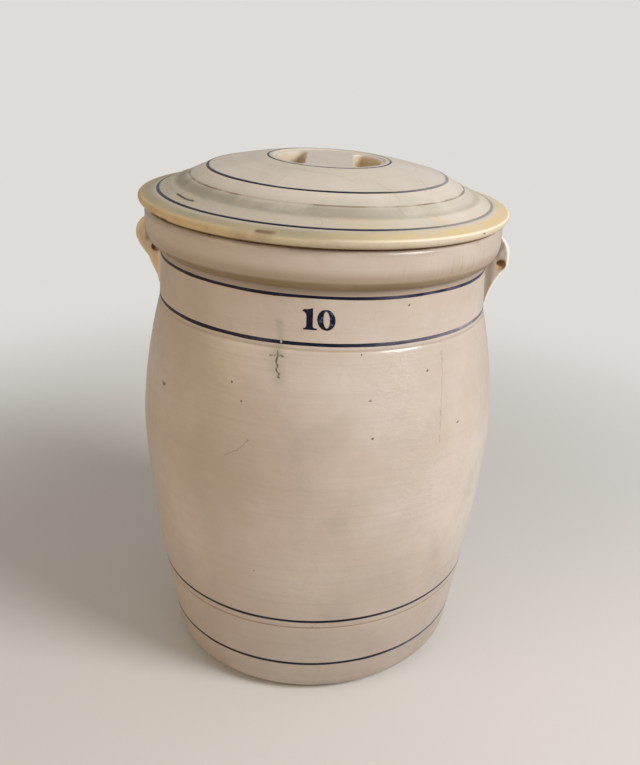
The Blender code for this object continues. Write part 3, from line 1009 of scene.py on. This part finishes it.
def makeNumeral():
    made = tidied(cutOut("numeral_ten", numeralOutlines(), extrude=numeral["thickness"] / 2), 0.000002)
    wall = BVHTree.FromObject(crockPiece, bpy.context.evaluated_depsgraph_get())
    with editing(made.data) as edit:
        # Small cells, so that it can bend round the wall
        for axis, reach in enumerate(numeral["size"]):
            normal = [float(axis == each) for each in range(3)]
            place = numeral["cell"]
            while place < reach:
                cells = edit.verts[:] + edit.edges[:] + edit.faces[:]
                on = [part * place for part in normal]
                bmesh.ops.bisect_plane(edit, geom=cells, plane_co=on, plane_no=normal)
                place += numeral["cell"]
        for vert in edit.verts:
            height = numeral["middleHeight"] - numeral["bottom"] + vert.co.y
            angle = (numeral["left"] + vert.co.x) / crock["neckRadius"]
            inwards = Vector((-math.sin(angle), math.cos(angle), 0.0))
            met = wall.ray_cast(Vector((0.0, 0.0, height)) - inwards * 0.25, inwards)[0]
            vert.co = met - inwards * (numeral["lift"] if vert.co.z > 0 else -numeral["depth"])
        bmesh.ops.recalc_face_normals(edit, faces=edit.faces)
    made.data.materials.clear()
    made.data.materials.append(cobaltLook("Cobalt numeral", jarColors["warm"], 0.35, blotched=0.75))
    made.data.shade_flat()
    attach(made, "jar")


makeNumeral()
print("numeral laid on the wall")


# The lugs, in metres from the jar's axis: fins luted to the neck and the collar, each pierced aslant for a bail.
# Outlines run from the collar down; a hole is its front opening, its back opening and its radius
lugs = {
    "thickness": 0.016,
    "round": 0.0042,
    "top": 0.4778,
    "root": 0.1605,
    "voxel": 0.0008,
    "joint": 0.0045,  # how far the clay is smoothed on to the wall
    "thinner": (0.10, 0.012),  # share that the fin loses, and how far from the wall
    "pastFace": 0.006,  # how far the drill stands out
    "face": tone(132, 116, 98),
    "edge": tone(250, 246, 238),
    "paintedSunlight": tone(232, 206, 166),
    "lip": tone(158, 128, 100),
    "inside": tone(206, 168, 130),
    "right": {
        "reach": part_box("ear_right")[1].x,
        "outline": (
            (0.1815, 0.4778), (0.1852, 0.4728), (0.1897, 0.4683), (0.1930, 0.4630), (0.1948, 0.4565),
            (0.1952, 0.4485), (0.1947, 0.4420), (0.1927, 0.4368), (0.1885, 0.4325), (0.1827, 0.4232),
            (0.1778, 0.4132), (0.1746, 0.4050), (0.1728, 0.3990),
        ),
        "hole": ((0.1855, 0.4426), (0.1860, 0.4514), 0.0051),
    },
    "left": {
        "reach": 0.1936,
        "outline": (
            (0.1815, 0.4778), (0.1834, 0.4735), (0.1882, 0.4700), (0.1916, 0.4650), (0.1930, 0.4598),
            (0.1932, 0.4532), (0.1906, 0.4462), (0.1869, 0.4400), (0.1818, 0.4330), (0.1790, 0.4250),
            (0.1758, 0.4180), (0.1733, 0.4120), (0.1722, 0.4050),
        ),
        "hole": ((0.1736, 0.4428), (0.1768, 0.4494), 0.0037),
    },
}


def lugLook(name, side, hole):
    look = Look(name)
    glazed(look, jarColors, 0.10, 0.3)
    look.lay(look.rise(look.noise(look.at, 45.0), 0.45, 0.7) * 0.35, jarMarks["stain"])
    front, back, size = hole
    half = lugs["thickness"] / 2
    far = look.farFromLine(look.at, (side * front[0], -half, front[1]), (side * back[0], half, back[1]))
    if side > 0:
        # The fin's faces are painted darker and browner as shade, and its outer edge is painted pale as a highlight
        face = look.rise(look.y * look.y, 0.0062**2, 0.0076**2)
        look.lay(face * 0.80, lugs["face"])
        look.lay((1 - face) * 0.9, lugs["edge"])
    else:
        # The left lug is painted paler all over, as painted light
        look.lay(0.65, lugs["paintedSunlight"])
    # Unglazed clay inside the hole, and a stain round it
    look.lay(look.fall(far, size, size + 0.0035) * 0.40, jarMarks["stain"])
    bare, grain = clayGround(look)
    bare = look.mix(0.65, bare, lugs["lip"])
    # Deeper in the hole the clay is painted lighter, as painted light against the hole's shade
    bare = look.mix(look.fall(look.y * look.y, 0.0025**2, 0.0068**2), bare, lugs["inside"])
    look.strip(look.fall(far, size + 0.0002, size + 0.0010), bare, grain)
    # Painted shade in the crease where the lug meets the collar
    creaseShade = look.fall(look.radius, 0.1822, 0.1850) * look.rise(look.z, 0.446, 0.452)
    look.lay(creaseShade * 0.6, jarMarks["oliveStainAndShade"])
    return look.close(Specular_IOR_Level=0.5, Coat_Weight=0.2, Coat_Roughness=0.16)


def lugDrill(hole):
    # A rod through the fin, aslant, before the fin is stood up: x is the radius, y the height and -z the depth
    front, back, size = hole
    half = lugs["thickness"] / 2
    rings = []
    for depth in (-half - lugs["pastFace"], half + lugs["pastFace"]):
        share = (depth + half) / lugs["thickness"]
        middle = [front[i] + (back[i] - front[i]) * share for i in (0, 1)]
        rings.append([(x, z, -depth) for x, z in arc(middle, size, 0, 360, 40)[:-1]])
    return lofted("drill", rings)


def makeLug(name, side, shape, look):
    root, half, joint = lugs["root"], lugs["thickness"] / 2, lugs["joint"]
    outline = [(root, lugs["top"])] + list(shape["outline"]) + [(root, shape["outline"][-1][1])]
    made = cutOut(
        name,
        [outline],
        extrude=half - lugs["round"],
        bevel_depth=lugs["round"],
        bevel_resolution=4,
        offset=-lugs["round"],
    )
    carved(tidied(made, 0.00001), lugDrill(shape["hole"]))
    remesh = made.modifiers.new("Clay", "REMESH")
    remesh.mode = "VOXEL"
    remesh.voxel_size = lugs["voxel"]
    smooth = made.modifiers.new("Thumbed", "SMOOTH")
    smooth.factor = 0.5
    smooth.iterations = 8
    mesh = settled(made).data
    stretch = (shape["reach"] - root) / (max(vert.co.x for vert in mesh.vertices) - root)
    loss, away = lugs["thinner"]
    for vert in mesh.vertices:
        x, thick, z = root + (vert.co.x - root) * stretch, -vert.co.z, vert.co.y
        # The fin is a little thinner at its outer edge and tail, and its joint flares on to the wall
        gap = math.hypot(x, thick) - outerRadius(z)
        thick *= 1.0 - loss * within(gap / away)
        if gap < joint:
            part = min(1.0, (joint - gap) / joint)
            thick *= 1 + joint * (1 - math.sqrt(max(0.0, 1 - part * part))) / half
        vert.co = (side * x, thick, z)
    if side < 0:
        mesh.flip_normals()
    tidied(made)
    mesh.materials.clear()
    mesh.materials.append(look)
    mesh.shade_smooth()
    return made


for name, side, node in (("left", -1, "ear_left"), ("right", 1, "ear_right")):
    look = lugLook("Lug glaze " + name, side, lugs[name]["hole"])
    lug = makeLug("lug_" + name + "_clay", side, lugs[name], look)
    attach(lug, "jar")
    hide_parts(node)
print("lugs luted")


# The lid, in metres over its seat
lid = {
    "seat": 0.4933,
    "radius": 0.1870,
    "edge": 0.0098,
    "edgeRound": 0.0027,
    "edgeUnder": (0.0110, 0.0070),
    "flangeRadius": 0.1680,
    "flangeRise": 0.0150,
    "stepRadius": 0.1205,
    "stepRise": 0.0379,
    "lipRadius": 0.0575,
    "lipRise": 0.0500,
    "gripDrop": 0.0015,
    "slopeBow": 1.06,
    "crownBow": 1.35,
    "skin": 0.012,
    "wall": 0.010,
    "pocketRadius": 0.052,
    "pocketDepth": 0.0265,
    "pocketFillet": 0.005,
    "pocketLip": 0.0016,
    "pocketCorner": 0.0065,
    "gripWidth": 0.049,
    "spigotGap": 0.0031,
    "spigotDepth": 0.010,
    "spigotWidth": 0.009,
    "spigotRound": 0.0022,
    # Radius, height and half width of what was turned on the slope: a groove, a valley and a ridge
    "turned": ((0.1380, -0.00075, 0.00085), (0.1485, -0.0010, 0.0048), (0.1556, 0.0006, 0.0026)),
    "rowStep": 0.0013,
    "fineStep": 0.0004,
}
gripTop = lid["lipRise"] - lid["gripDrop"]


def lidRise(radius):
    # The upper side over the seat
    flange, step, lip = lid["flangeRadius"], lid["stepRadius"], lid["lipRadius"]
    if radius > flange:
        share = (radius - flange) / (lid["radius"] - flange)
        return lid["flangeRise"] - (lid["flangeRise"] - lid["edge"]) * share
    if radius > step:
        share = (flange - radius) / (flange - step)
        rise = lid["flangeRise"] + (lid["stepRise"] - lid["flangeRise"]) * share ** lid["slopeBow"]
        return rise + sum(hump(radius, *each) for each in lid["turned"])
    share = max(0.0, (radius - lip) / (step - lip))
    return lid["lipRise"] - (lid["lipRise"] - lid["stepRise"]) * share ** lid["crownBow"]


def lidLine():
    # From the middle of the grip over the top, round the edge and back along the underside
    edge, skin, foot = lid["edgeRound"], lid["skin"], lid["spigotRound"]
    start = lid["pocketRadius"] + lid["pocketLip"] + 0.0004
    line = [(0.0, gripTop), (start, gripTop)]
    for share in (0.15, 0.3, 0.45, 0.6, 0.75, 0.9):
        part = 0.5 - 0.5 * math.cos(math.pi * share)
        line.append((start + (lid["lipRadius"] - start) * share, gripTop + lid["gripDrop"] * part))
    radius, corner = lid["lipRadius"], lid["radius"] - edge
    while radius < corner:
        line.append((radius, lidRise(radius)))
        radius += lid["fineStep"] if abs(radius - lid["turned"][0][0]) < 0.0028 else lid["rowStep"]
    line += arc((corner, lidRise(corner) - edge), edge, 88, 8, 8)
    across, up = lid["edgeUnder"]
    line += arc((lid["radius"] - across, up + 0.0002), (across, up), 0, -90, 12)
    spigot = mouthRadius - lid["spigotGap"]
    inside, tip = spigot - lid["spigotWidth"], foot - lid["spigotDepth"]
    line += [(0.178, 0.0002), (0.170, 0.0), (0.160, 0.0), (spigot + 0.002, 0.0)]
    line += [(spigot + 0.0008, -0.0002), (spigot, -0.0012), (spigot - 0.0016, tip)]
    line += arc((spigot - 0.0040, tip), foot, 0, -90, 5)[1:]
    line += arc((inside + 0.0025, tip), foot, -90, -180, 5)
    line += [(radius, lidRise(radius) - skin) for radius in (inside - 0.0010, inside - 0.0030)]
    hub = lid["pocketRadius"] + lid["wall"]
    bottom = gripTop - lid["pocketDepth"] - lid["wall"]
    radius = inside - 0.008
    while radius > hub + 0.011:
        line.append((radius, lidRise(radius) - skin))
        radius -= 0.005
    under = lidRise(hub + 0.010) - skin
    line += [(hub + 0.006, under - 0.0012), (hub + 0.0022, under - 0.005)]
    line += arc((hub - 0.004, bottom + 0.008), (0.004, 0.008), 0, -90, 8)
    line += [(hub - 0.020, bottom), (0.02, bottom), (0.0, bottom)]
    return [(radius, height + lid["seat"]) for radius, height in line]


lidColors = {
    "pale": tone(231, 221, 208),
    "warm": tone(214, 201, 184),
    "grey": tone(178, 175, 163),
    "speck": tone(98, 80, 58),
    "edge": tone(208, 195, 173),
    "paintedHighlight": tone(246, 234, 208),
}
lidMarks = {
    "ochre": tone(234, 208, 154),
    "honey": tone(214, 184, 130),
    "greenShade": tone(134, 130, 104),
    "drab": tone(142, 136, 116),
    "brown": tone(118, 88, 56),
    "ink": tone(30, 32, 32),
    "tan": tone(212, 189, 148),
    "chip": tone(78, 58, 38),
    # Rings on the top: middle radius, width and softness
    "valleyBand": (0.1500, 0.0060, 0.0075),
    "slopeBand": (0.160, 0.008, 0.008),
    "grooveBand": (0.1380, 0.0010, 0.0009),
    "rim": (0.1690, 0.1780),  # radius where the rim's colour starts and is full
    # Seen from above: places across and along
    "stroke": ((-0.1396, -0.0763), (-0.1342, -0.0864), (-0.1296, -0.0940), (-0.1259, -0.0986), (-0.1209, -0.1038)),
    "stain": ((-0.0572, -0.1732), (-0.0525, -0.1748), (-0.0455, -0.1768)),
    "chipped": (0.1452, -0.1179),
    "chipSize": 0.0019,
    "bites": (  # along the lower edge
        ((-0.1583, -0.0958), (-0.1522, -0.1046)),
        ((-0.1474, -0.1109), (-0.1427, -0.1166)),
    ),
    "hairlines": (
        ((0.0440, -0.0900), (0.0560, -0.1010), (0.0640, -0.1120)),
        ((0.0621, -0.1247), (0.0660, -0.1300), (0.0700, -0.1325)),
        ((0.0880, -0.0560), (0.0930, -0.0720), (0.0900, -0.0850)),
        ((-0.0350, -0.0620), (-0.0150, -0.0780), (0.0100, -0.0840), (0.0260, -0.0980)),
    ),
}


def turningRings(look, pitch, wander, rough=0.55):
    # Fine rings that the wheel leaves on a flat piece
    return look.noise(look.joined(look.radius * pitch, look.x * wander, look.y * wander), 1.0, 3.0, rough)


def lidLook():
    look = Look("Lid glaze")
    at, x, z, radius = look.at, look.x, look.z, look.radius
    glazed(look, lidColors, 0.30, 0.0)
    turned = turningRings(look, 210, 3, 0.6)
    look.lay(look.rise(turned, 0.5, 0.8) * 0.22, lidColors["grey"])
    look.height = look.height + turned * 0.00014
    # Drab lies in the valley as stain and painted shade, with more painted shade to the left on the valley, the
    # slope, the rim and its edge; ochre on the rim's top
    blot = look.noise(look.shaken(at, 20.0, 0.03), 26.0, 4.0, 0.6)
    shadeTowardsLeft = look.fall(x, -0.03, 0.12)
    valley = look.band(radius + blot * 0.006, *lidMarks["valleyBand"])
    look.lay(valley * (0.20 + 0.42 * shadeTowardsLeft) * look.rise(blot, 0.25, 0.60), lidMarks["drab"])
    look.lay(look.band(radius, *lidMarks["slopeBand"]) * look.rise(blot, 0.42, 0.7) * 0.30, lidMarks["ochre"])
    look.lay(shadeTowardsLeft * look.rise(radius, 0.120, 0.150) * 0.30, lidMarks["drab"])
    rim = look.rise(radius, *lidMarks["rim"])
    look.lay(rim * shadeTowardsLeft * 0.72, lidMarks["greenShade"])
    look.lay(rim * (1 - 0.65 * shadeTowardsLeft) * (0.45 + 0.42 * look.rise(blot, 0.34, 0.62)), lidMarks["ochre"])
    # The rounded edge is honey brown on the left and pale on the right
    honeyed = look.fall(x + blot * 0.04, -0.12, 0.03)
    edge = most(
        look.rise(radius, 0.1846, 0.1862) * look.fall(z + blot * 0.001, 0.5022, 0.5036),
        look.rise(radius, 0.1800, 0.1848) * honeyed,
        look.fall(z, 0.4990, 0.5008) * look.rise(radius, 0.1800, 0.1806),
    )
    look.lay(edge * 0.82, look.mix(0.15 * shadeTowardsLeft + 0.85 * honeyed, lidColors["edge"], lidMarks["honey"]))
    look.lay(edge * (0.05 + 0.25 * shadeTowardsLeft) * look.rise(blot, 0.42, 0.64), lidMarks["brown"])
    # A painted highlight along the top corner of the edge, on the right
    corner = look.band(z, 0.5030, 0.0010, 0.0009) * look.rise(radius, 0.1838, 0.1848)
    look.lay(corner * (1 - shadeTowardsLeft) * 0.75, lidColors["paintedHighlight"])
    groove = look.band(radius, *lidMarks["grooveBand"])
    look.lay(groove * (0.22 + 0.50 * look.rise(blot, 0.45, 0.62)), lidMarks["brown"])
    # Painted shade on the lid's lower round, above the jar's rim
    look.lay(look.fall(z, 0.4938, 0.4968) * 0.65, lidMarks["brown"])
    # Dirt and painted shade in the pockets of the grip, more on the right
    deep = look.fall(z + blot * 0.003, 0.5385, 0.5428) * look.fall(radius, 0.0535, 0.0545)
    deep = deep * look.rise(z, 0.5120, 0.5140) * (0.38 + 0.42 * look.rise(x, -0.01, 0.01))
    look.lay(deep * 0.88, lidMarks["tan"])
    # Marks of use, laid on from above
    flat = (1.0, 1.0, 0.0)
    above = look.rise(z, 0.4945, 0.4955)
    loose = look.stretched(look.shaken(at, 180.0, 0.0025), flat)
    steady = look.stretched(look.shaken(at, 260.0, 0.0006), flat)

    def drawn(where, places, width, soft):
        return look.scratch(where, [(across, along, 0.0) for across, along in places], width, soft)

    look.lay(drawn(steady, lidMarks["stroke"], 0.0010, 0.0008) * above * 0.92, lidMarks["ink"])
    stain = drawn(loose, lidMarks["stain"], 0.0020, 0.0040) * look.rise(z, 0.5000, 0.5022)
    look.lay(stain * (0.50 + 0.4 * look.rise(blot, 0.35, 0.6)), lidMarks["brown"])
    size = lidMarks["chipSize"]
    chips = look.fall(look.farFrom(loose, lidMarks["chipped"] + (0.0,)), size * 0.7, size * 1.2)
    chips = chips * look.band(z, 0.5005, 0.0007, 0.0006)
    gnawed = look.fall(z + look.noise(at, 300.0, 2.0) * 0.003, 0.4986, 0.4998)
    chips = most(chips, *(drawn(loose, places, 0.0034, 0.0014) * gnawed for places in lidMarks["bites"]))
    look.lay(chips * 0.85, lidMarks["chip"])
    hairs = most(*(drawn(loose, places, 0.0003, 0.0004) for places in lidMarks["hairlines"])) * above
    look.lay(hairs * 0.26, lidMarks["brown"])
    look.height = look.height - chips * 0.0004 - hairs * 0.0001
    look.roughness = look.roughness + 0.20 * valley + 0.12 * rim + 0.25 * chips + 0.25 * deep
    # Bare clay where it rests on the jar
    look.strip(look.fall(z, 0.4936, 0.4941) * look.rise(radius, 0.1500, 0.1515), *clayGround(look))
    look.roughness = look.roughness + 0.10
    return look.close(Specular_IOR_Level=0.34, Coat_Weight=0.06, Coat_Roughness=0.2)


def pocketRing(side, inset):
    # The pocket's outline from above: a segment of a circle with rounded corners, drawn in by inset
    radius, corner = lid["pocketRadius"], lid["pocketCorner"]
    # Middle of each corner's round, where it touches both the circle and the bar's side
    across = lid["gripWidth"] / 2 + corner
    along = math.sqrt((radius - corner) ** 2 - across**2)
    turn = math.degrees(math.atan2(along, across))
    ring = arc((across, -along), corner - inset, 180, 360 - turn, 10)
    ring += arc((0.0, 0.0), radius - inset, -turn, turn, 40)[1:-1]
    ring += arc((across, along), corner - inset, turn, 180, 10)
    return [(side * x, y) for x, y in ring]


def pocketCutter(side, look):
    # Rounded lip at the top, straight wall, rounded floor
    lip, fillet, depth = lid["pocketLip"], lid["pocketFillet"], lid["pocketDepth"]
    levels = [(-lip - 0.0002, 0.004), (-lip, 0.0)] + arc((-lip, -lip), lip, 72, 0, 4)
    levels += [(0.0, -depth * 0.3), (0.0, -depth * 0.55), (0.0, -depth + fillet)]
    levels += arc((fillet, -depth + fillet), fillet, 195, 270, 5)
    top, deepest = lid["seat"] + gripTop, lid["pocketCorner"] - 0.0002
    rings = [[(x, y, top + height) for x, y in pocketRing(side, min(inset, deepest))] for inset, height in levels]
    made = lofted("pocket", rings)
    made.data.materials.append(look)
    made.data.shade_smooth()
    return made


def makeLid():
    made = thrown("lid_stoneware", lidLine(), lidLook(), steps=crock["steps"], seed=9.0)
    for side in (-1, 1):
        carved(made, pocketCutter(side, made.data.materials[0]))
    tidied(made)
    verts = made.data.vertices
    for face in made.data.polygons:
        face.use_smooth = any(abs(verts[v].co.z - lid["seat"] - gripTop) >= 0.00002 for v in face.vertices)
    return made


lidPiece = makeLid()
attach(lidPiece, "lid")
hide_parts("lid")
print("lid turned:", len(lidPiece.data.polygons), "faces")


def onLid(radius):
    return (radius, lid["seat"] + lidRise(radius))


def lidOutward(radius):
    return squareTo(lidRise, radius, 0.0008)[::-1]


lidCobalt = cobaltLook("Cobalt on the lid", lidColors["warm"], 0.70, 0.52)
for number, (name, radius, width) in enumerate(cobalt["lidLines"]):
    brushedLine(name, onLid, lidOutward, radius, width, lidCobalt, "lid", 15.0 + number)
print("lines brushed on the lid")


# The false bottom, a loose disc pierced in rings
plate = {
    "thickness": 0.012,
    "bottom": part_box("drain_plate")[0].z,
    "edgeRound": 0.0022,
    "liftRadius": 0.014,
    "holeRadius": 0.005,
    "holeRound": 0.0015,
    "ringStep": 0.034,
    "holePitch": 0.032,
    "turn": 0.3,  # of the way from hole to hole, that each ring is turned
    "steps": 128,
    "sharp": 32,  # degrees
    "pale": tone(190, 172, 144),
    "warm": tone(172, 148, 116),
    "grey": tone(152, 142, 122),
    "speck": tone(86, 64, 44),
}


def plateLook():
    look = Look("Plate glaze")
    glazed(look, plate, 0.2, 0.0)
    turned = turningRings(look, 240, 2)
    look.lay(look.rise(turned, 0.5, 0.8) * 0.3, plate["grey"])
    # Bare clay round the rim and underneath
    bare, grain = clayGround(look)
    rim = look.rise(look.radius + turned * 0.002, plateRadius - 0.0040, plateRadius - 0.0025)
    rubbed = most(rim, look.fall(look.z, plate["bottom"] + 0.0004, plate["bottom"] + 0.0012))
    look.lay(rubbed * 0.85, bare)
    look.roughness = (look.roughness + 0.18) * (1 - rubbed) + clay["roughness"] * rubbed
    look.height = look.height + turned * 0.00012 + grain * rubbed
    return look.close(Specular_IOR_Level=0.4)


def piercedTree(rings):
    # Cuts a lift hole and rings of drain holes, all with rounded lips,
    # through a disc that lies on its bottom height
    inputs = {"Disc": "Geometry"}
    inputs.update(dict.fromkeys(("Bottom", "Thickness", "Lift radius", "Hole radius", "Lip", "Turn"), "Float"))
    tree, bench, given = newTree("Pierced in rings", inputs | {"Glaze": "Material"}, "Plate")
    disc, bottom, thickness, liftRadius, holeRadius, lip, turn, look = given

    def drill(radius, corners):
        # A straight rod that opens out like a trumpet at both faces of the disc
        values = {"Vertices": corners, "Side Segments": 28, "Radius": radius, "Depth": thickness + 0.002}
        rod = bench.add("GeometryNodeMeshCylinder", {"fill_type": "NGON"}, values, "Mesh")
        x, y, z = bench.split(bench.add("GeometryNodeInputPosition"))
        past = bench.clamped((bench.maths("ABSOLUTE", z) - (thickness / 2 - lip)) / lip)
        grow = 1 + lip / radius * (1 - (1 - past * past) ** 0.5)
        values = {"Geometry": rod, "Position": bench.joined(x * grow, y * grow, z)}
        return bench.add("GeometryNodeSetPosition", None, values)

    middle = bench.joined(z=bottom + thickness / 2)
    small = drill(holeRadius, 20)
    values = {"Geometry": drill(liftRadius, 56), "Translation": middle}
    drills = [bench.add("GeometryNodeTransform", None, values)]
    for radius, count in rings:
        ring = bench.add("GeometryNodeMeshCircle", None, {"Vertices": count, "Radius": radius})
        values = {"Geometry": ring, "Translation": middle, "Rotation": bench.joined(z=turn * (2 * math.pi / count))}
        ring = bench.add("GeometryNodeTransform", None, values)
        values = {"Points": ring, "Instance": small}
        drills.append(bench.add("GeometryNodeInstanceOnPoints", None, values))
    joined = bench.add("GeometryNodeJoinGeometry", None, {0: drills})
    joined = bench.add("GeometryNodeRealizeInstances", None, {0: joined})
    cut = bench.add("GeometryNodeMeshBoolean", {"operation": "DIFFERENCE", "solver": "EXACT"}, {0: disc, 1: joined})
    cut = bench.add("GeometryNodeRealizeInstances", None, {0: cut})
    cut = bench.add("GeometryNodeSetMaterial", None, {"Geometry": cut, "Material": look})
    bench.add("NodeGroupOutput", None, {0: cut}, ())
    return tree


def makePlate():
    low, high, edge = plate["bottom"], plate["bottom"] + plate["thickness"], plate["edgeRound"]
    line = [(0.0, high)] + [(radius, high) for radius in spread(0.02, plateRadius - edge - 0.001, 6)]
    line += arc((plateRadius - edge, high - edge), edge, 90, 0, 5)
    line += arc((plateRadius - edge, low + edge), edge, 0, -90, 5)
    line += [(0.02, low), (0.0, low)]
    look = plateLook()
    made = thrown("plate_stoneware", line, look, steps=plate["steps"], seed=21.0)
    rings, ring = [], plate["liftRadius"] + plate["ringStep"]
    while ring + plate["holeRadius"] + plate["thickness"] < plateRadius:
        rings.append((ring, int(2 * math.pi * ring / plate["holePitch"])))
        ring += plate["ringStep"]
    inputs = {
        "Bottom": low,
        "Thickness": plate["thickness"],
        "Lift radius": plate["liftRadius"],
        "Hole radius": plate["holeRadius"],
        "Lip": plate["holeRound"],
        "Turn": plate["turn"],
        "Glaze": look,
    }
    tidied(applied(made, piercedTree(rings), inputs), 0.000005)
    made.data.shade_smooth()
    made.data.set_sharp_from_angle(angle=math.radians(plate["sharp"]))
    return made


platePiece = makePlate()
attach(platePiece, "plate")
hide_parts("drain_plate")
print("false bottom pierced:", len(platePiece.data.polygons), "faces")


# The bung, turned along the outlet's axis
bung = {
    "clearance": 0.0003,
    "reach": 0.005,  # past the sump wall
    "head": 0.015,  # out of the boss
    "round": 0.0022,
    "ring": (0.0065, 0.0005, 0.0006),  # a turned ring: how far under the head, its depth and half width
    "steps": 72,
    "heart": (-0.021, 0.006),  # the middle of the growth rings
    "ringsPerMetre": 720,
    "early": tone(186, 148, 100),
    "late": tone(146, 104, 62),
    "dark": tone(92, 62, 36),
}


def bungLook():
    look = Look("Turned beech")
    # Growth rings of a billet whose heart lies beside the bung
    x, _, z = look.split(look.shaken(look.stretched(look.at, (1.0, 0.12, 1.0)), 30.0, 0.006))
    x, z = x - bung["heart"][0], z - bung["heart"][1]
    ring = look.maths("FRACT", (x * x + z * z) ** 0.5 * bung["ringsPerMetre"])
    late = look.rise(ring, 0.45, 0.92) * look.fall(ring, 0.94, 1.0)
    look.color = look.mix(late * 0.75, bung["early"], bung["late"])
    pores = look.rise(look.noise(look.at, (1500.0, 90.0, 1500.0), 2.0), 0.56, 0.70)
    look.lay(pores * 0.45, bung["dark"])
    # Damp inside the outlet, bruised on the head
    look.lay(look.fall(look.y, bossFace - 0.004, bossFace + 0.004) * 0.45, bung["dark"])
    head = bossFace + bung["head"]
    bruise = look.rise(look.noise(look.at, 140.0), 0.52, 0.68) * look.rise(look.y, head - 0.003, head)
    look.lay(bruise * 0.4, bung["dark"])
    look.height = late * 0.00006 - pores * 0.00010 - bruise * 0.0003
    look.roughness = 0.58 + 0.12 * pores
    return look.close(Specular_IOR_Level=0.4)


def makeBung():
    inner, outer = sumpRadius - bung["reach"], bossFace + bung["head"]

    def radiusAt(depth):
        return outletRadius(depth) - bung["clearance"]

    head, tip, edge = radiusAt(outer), radiusAt(inner), bung["round"]
    under, deep, wide = bung["ring"]
    line = [(0.0, outer - 0.0004), (head * 0.5, outer - 0.0003), (head - edge, outer)]
    line += arc((head - edge, outer - edge), edge, 75, 0, 6)
    for depth in spread(outer - edge - 0.0005, inner + 0.0012, 60):
        line.append((radiusAt(depth) - hump(depth, outer - under, deep, wide), depth))
    line += [(tip - 0.0004, inner + 0.0004), (tip - 0.0012, inner), (tip * 0.5, inner), (0.0, inner)]
    return layOnOutlet(thrown("bung_beech", line, bungLook(), steps=bung["steps"], seed=31.0))


bungPiece = makeBung()
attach(bungPiece, "bung")
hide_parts("drain_bung")
print("bung turned:", len(bungPiece.data.polygons), "faces")


# A pale floor that fades into the background, and soft studio light
studio = {
    "floor": tone(226, 223, 218),
    "floorGrain": tone(205, 202, 196),
    "floorRadius": 30.0,
    "fade": (0.42, 1.30),  # where the floor starts to fade and is gone, metres from the jar
    "worldLight": 0.32,
    "worldColor": (1.0, 0.985, 0.965, 1.0),
    "mirrored": 0.4,  # share of the background that shines in the glaze
    "background": tone(222, 220, 216),
    "aim": (0.0, 0.0, 0.28),
    "lamps": (  # name, place, size, power and colour
        ("Key", (1.75, -1.15, 1.70), 1.0, 48.0, (1.0, 0.985, 0.98)),
        ("Fill", (-1.9, -1.2, 1.0), 1.8, 13.0, (1.0, 0.75, 0.47)),
    ),
}


def floorLook():
    look = Look("Pale floor")
    color = look.mix(look.noise(look.at, 60.0) * 0.06, studio["floor"], studio["floorGrain"])
    values = {"Base Color": color, "Roughness": 0.85, "Specular IOR Level": 0.2}
    lit = look.add("ShaderNodeBsdfPrincipled", None, values)
    plain = look.add("ShaderNodeEmission", None, {0: studio["background"], 1: 1.0})
    faded = look.rise(look.radius, *studio["fade"]) * look.add("ShaderNodeLightPath", None, None, "Is Camera Ray")
    both = look.add("ShaderNodeMixShader", None, {0: faded, 1: lit, 2: plain})
    look.add("ShaderNodeOutputMaterial", None, {0: both}, ())
    return look.made


def makeLamp(name, place, size, power, color):
    light = bpy.data.lights.new(name, "AREA")
    light.shape = "DISK"
    light.size, light.energy, light.color = size, power, color
    lamp = newPiece(name, light)
    lamp.location = place
    lamp.rotation_mode = "QUATERNION"
    lamp.rotation_quaternion = (Vector(studio["aim"]) - Vector(place)).to_track_quat("-Z", "Y")


def makeStudio():
    mesh = bpy.data.meshes.new("floor")
    with editing(mesh) as edit:
        bmesh.ops.create_circle(edit, cap_ends=True, segments=96, radius=studio["floorRadius"])
    mesh.materials.append(floorLook())
    newPiece("floor", mesh)
    for lamp in studio["lamps"]:
        makeLamp(*lamp)
    world = bpy.data.worlds.new("Studio")
    world.use_nodes = True
    world.node_tree.nodes.clear()
    bench = Bench(world.node_tree)
    seen, mirrored = bench.add("ShaderNodeLightPath", None, None, ("Is Camera Ray", "Is Glossy Ray"))
    light = bench.add("ShaderNodeBackground", None, {0: studio["worldColor"], 1: studio["worldLight"]})
    shown = bench.add("ShaderNodeBackground", None, {0: studio["background"], 1: 1.0})
    share = most(seen, mirrored * studio["mirrored"])
    both = bench.add("ShaderNodeMixShader", None, {0: share, 1: light, 2: shown})
    bench.add("ShaderNodeOutputWorld", None, {0: both}, ())
    scene.world = world
    scene.view_settings.view_transform = "Standard"


makeStudio()
print("studio lit")
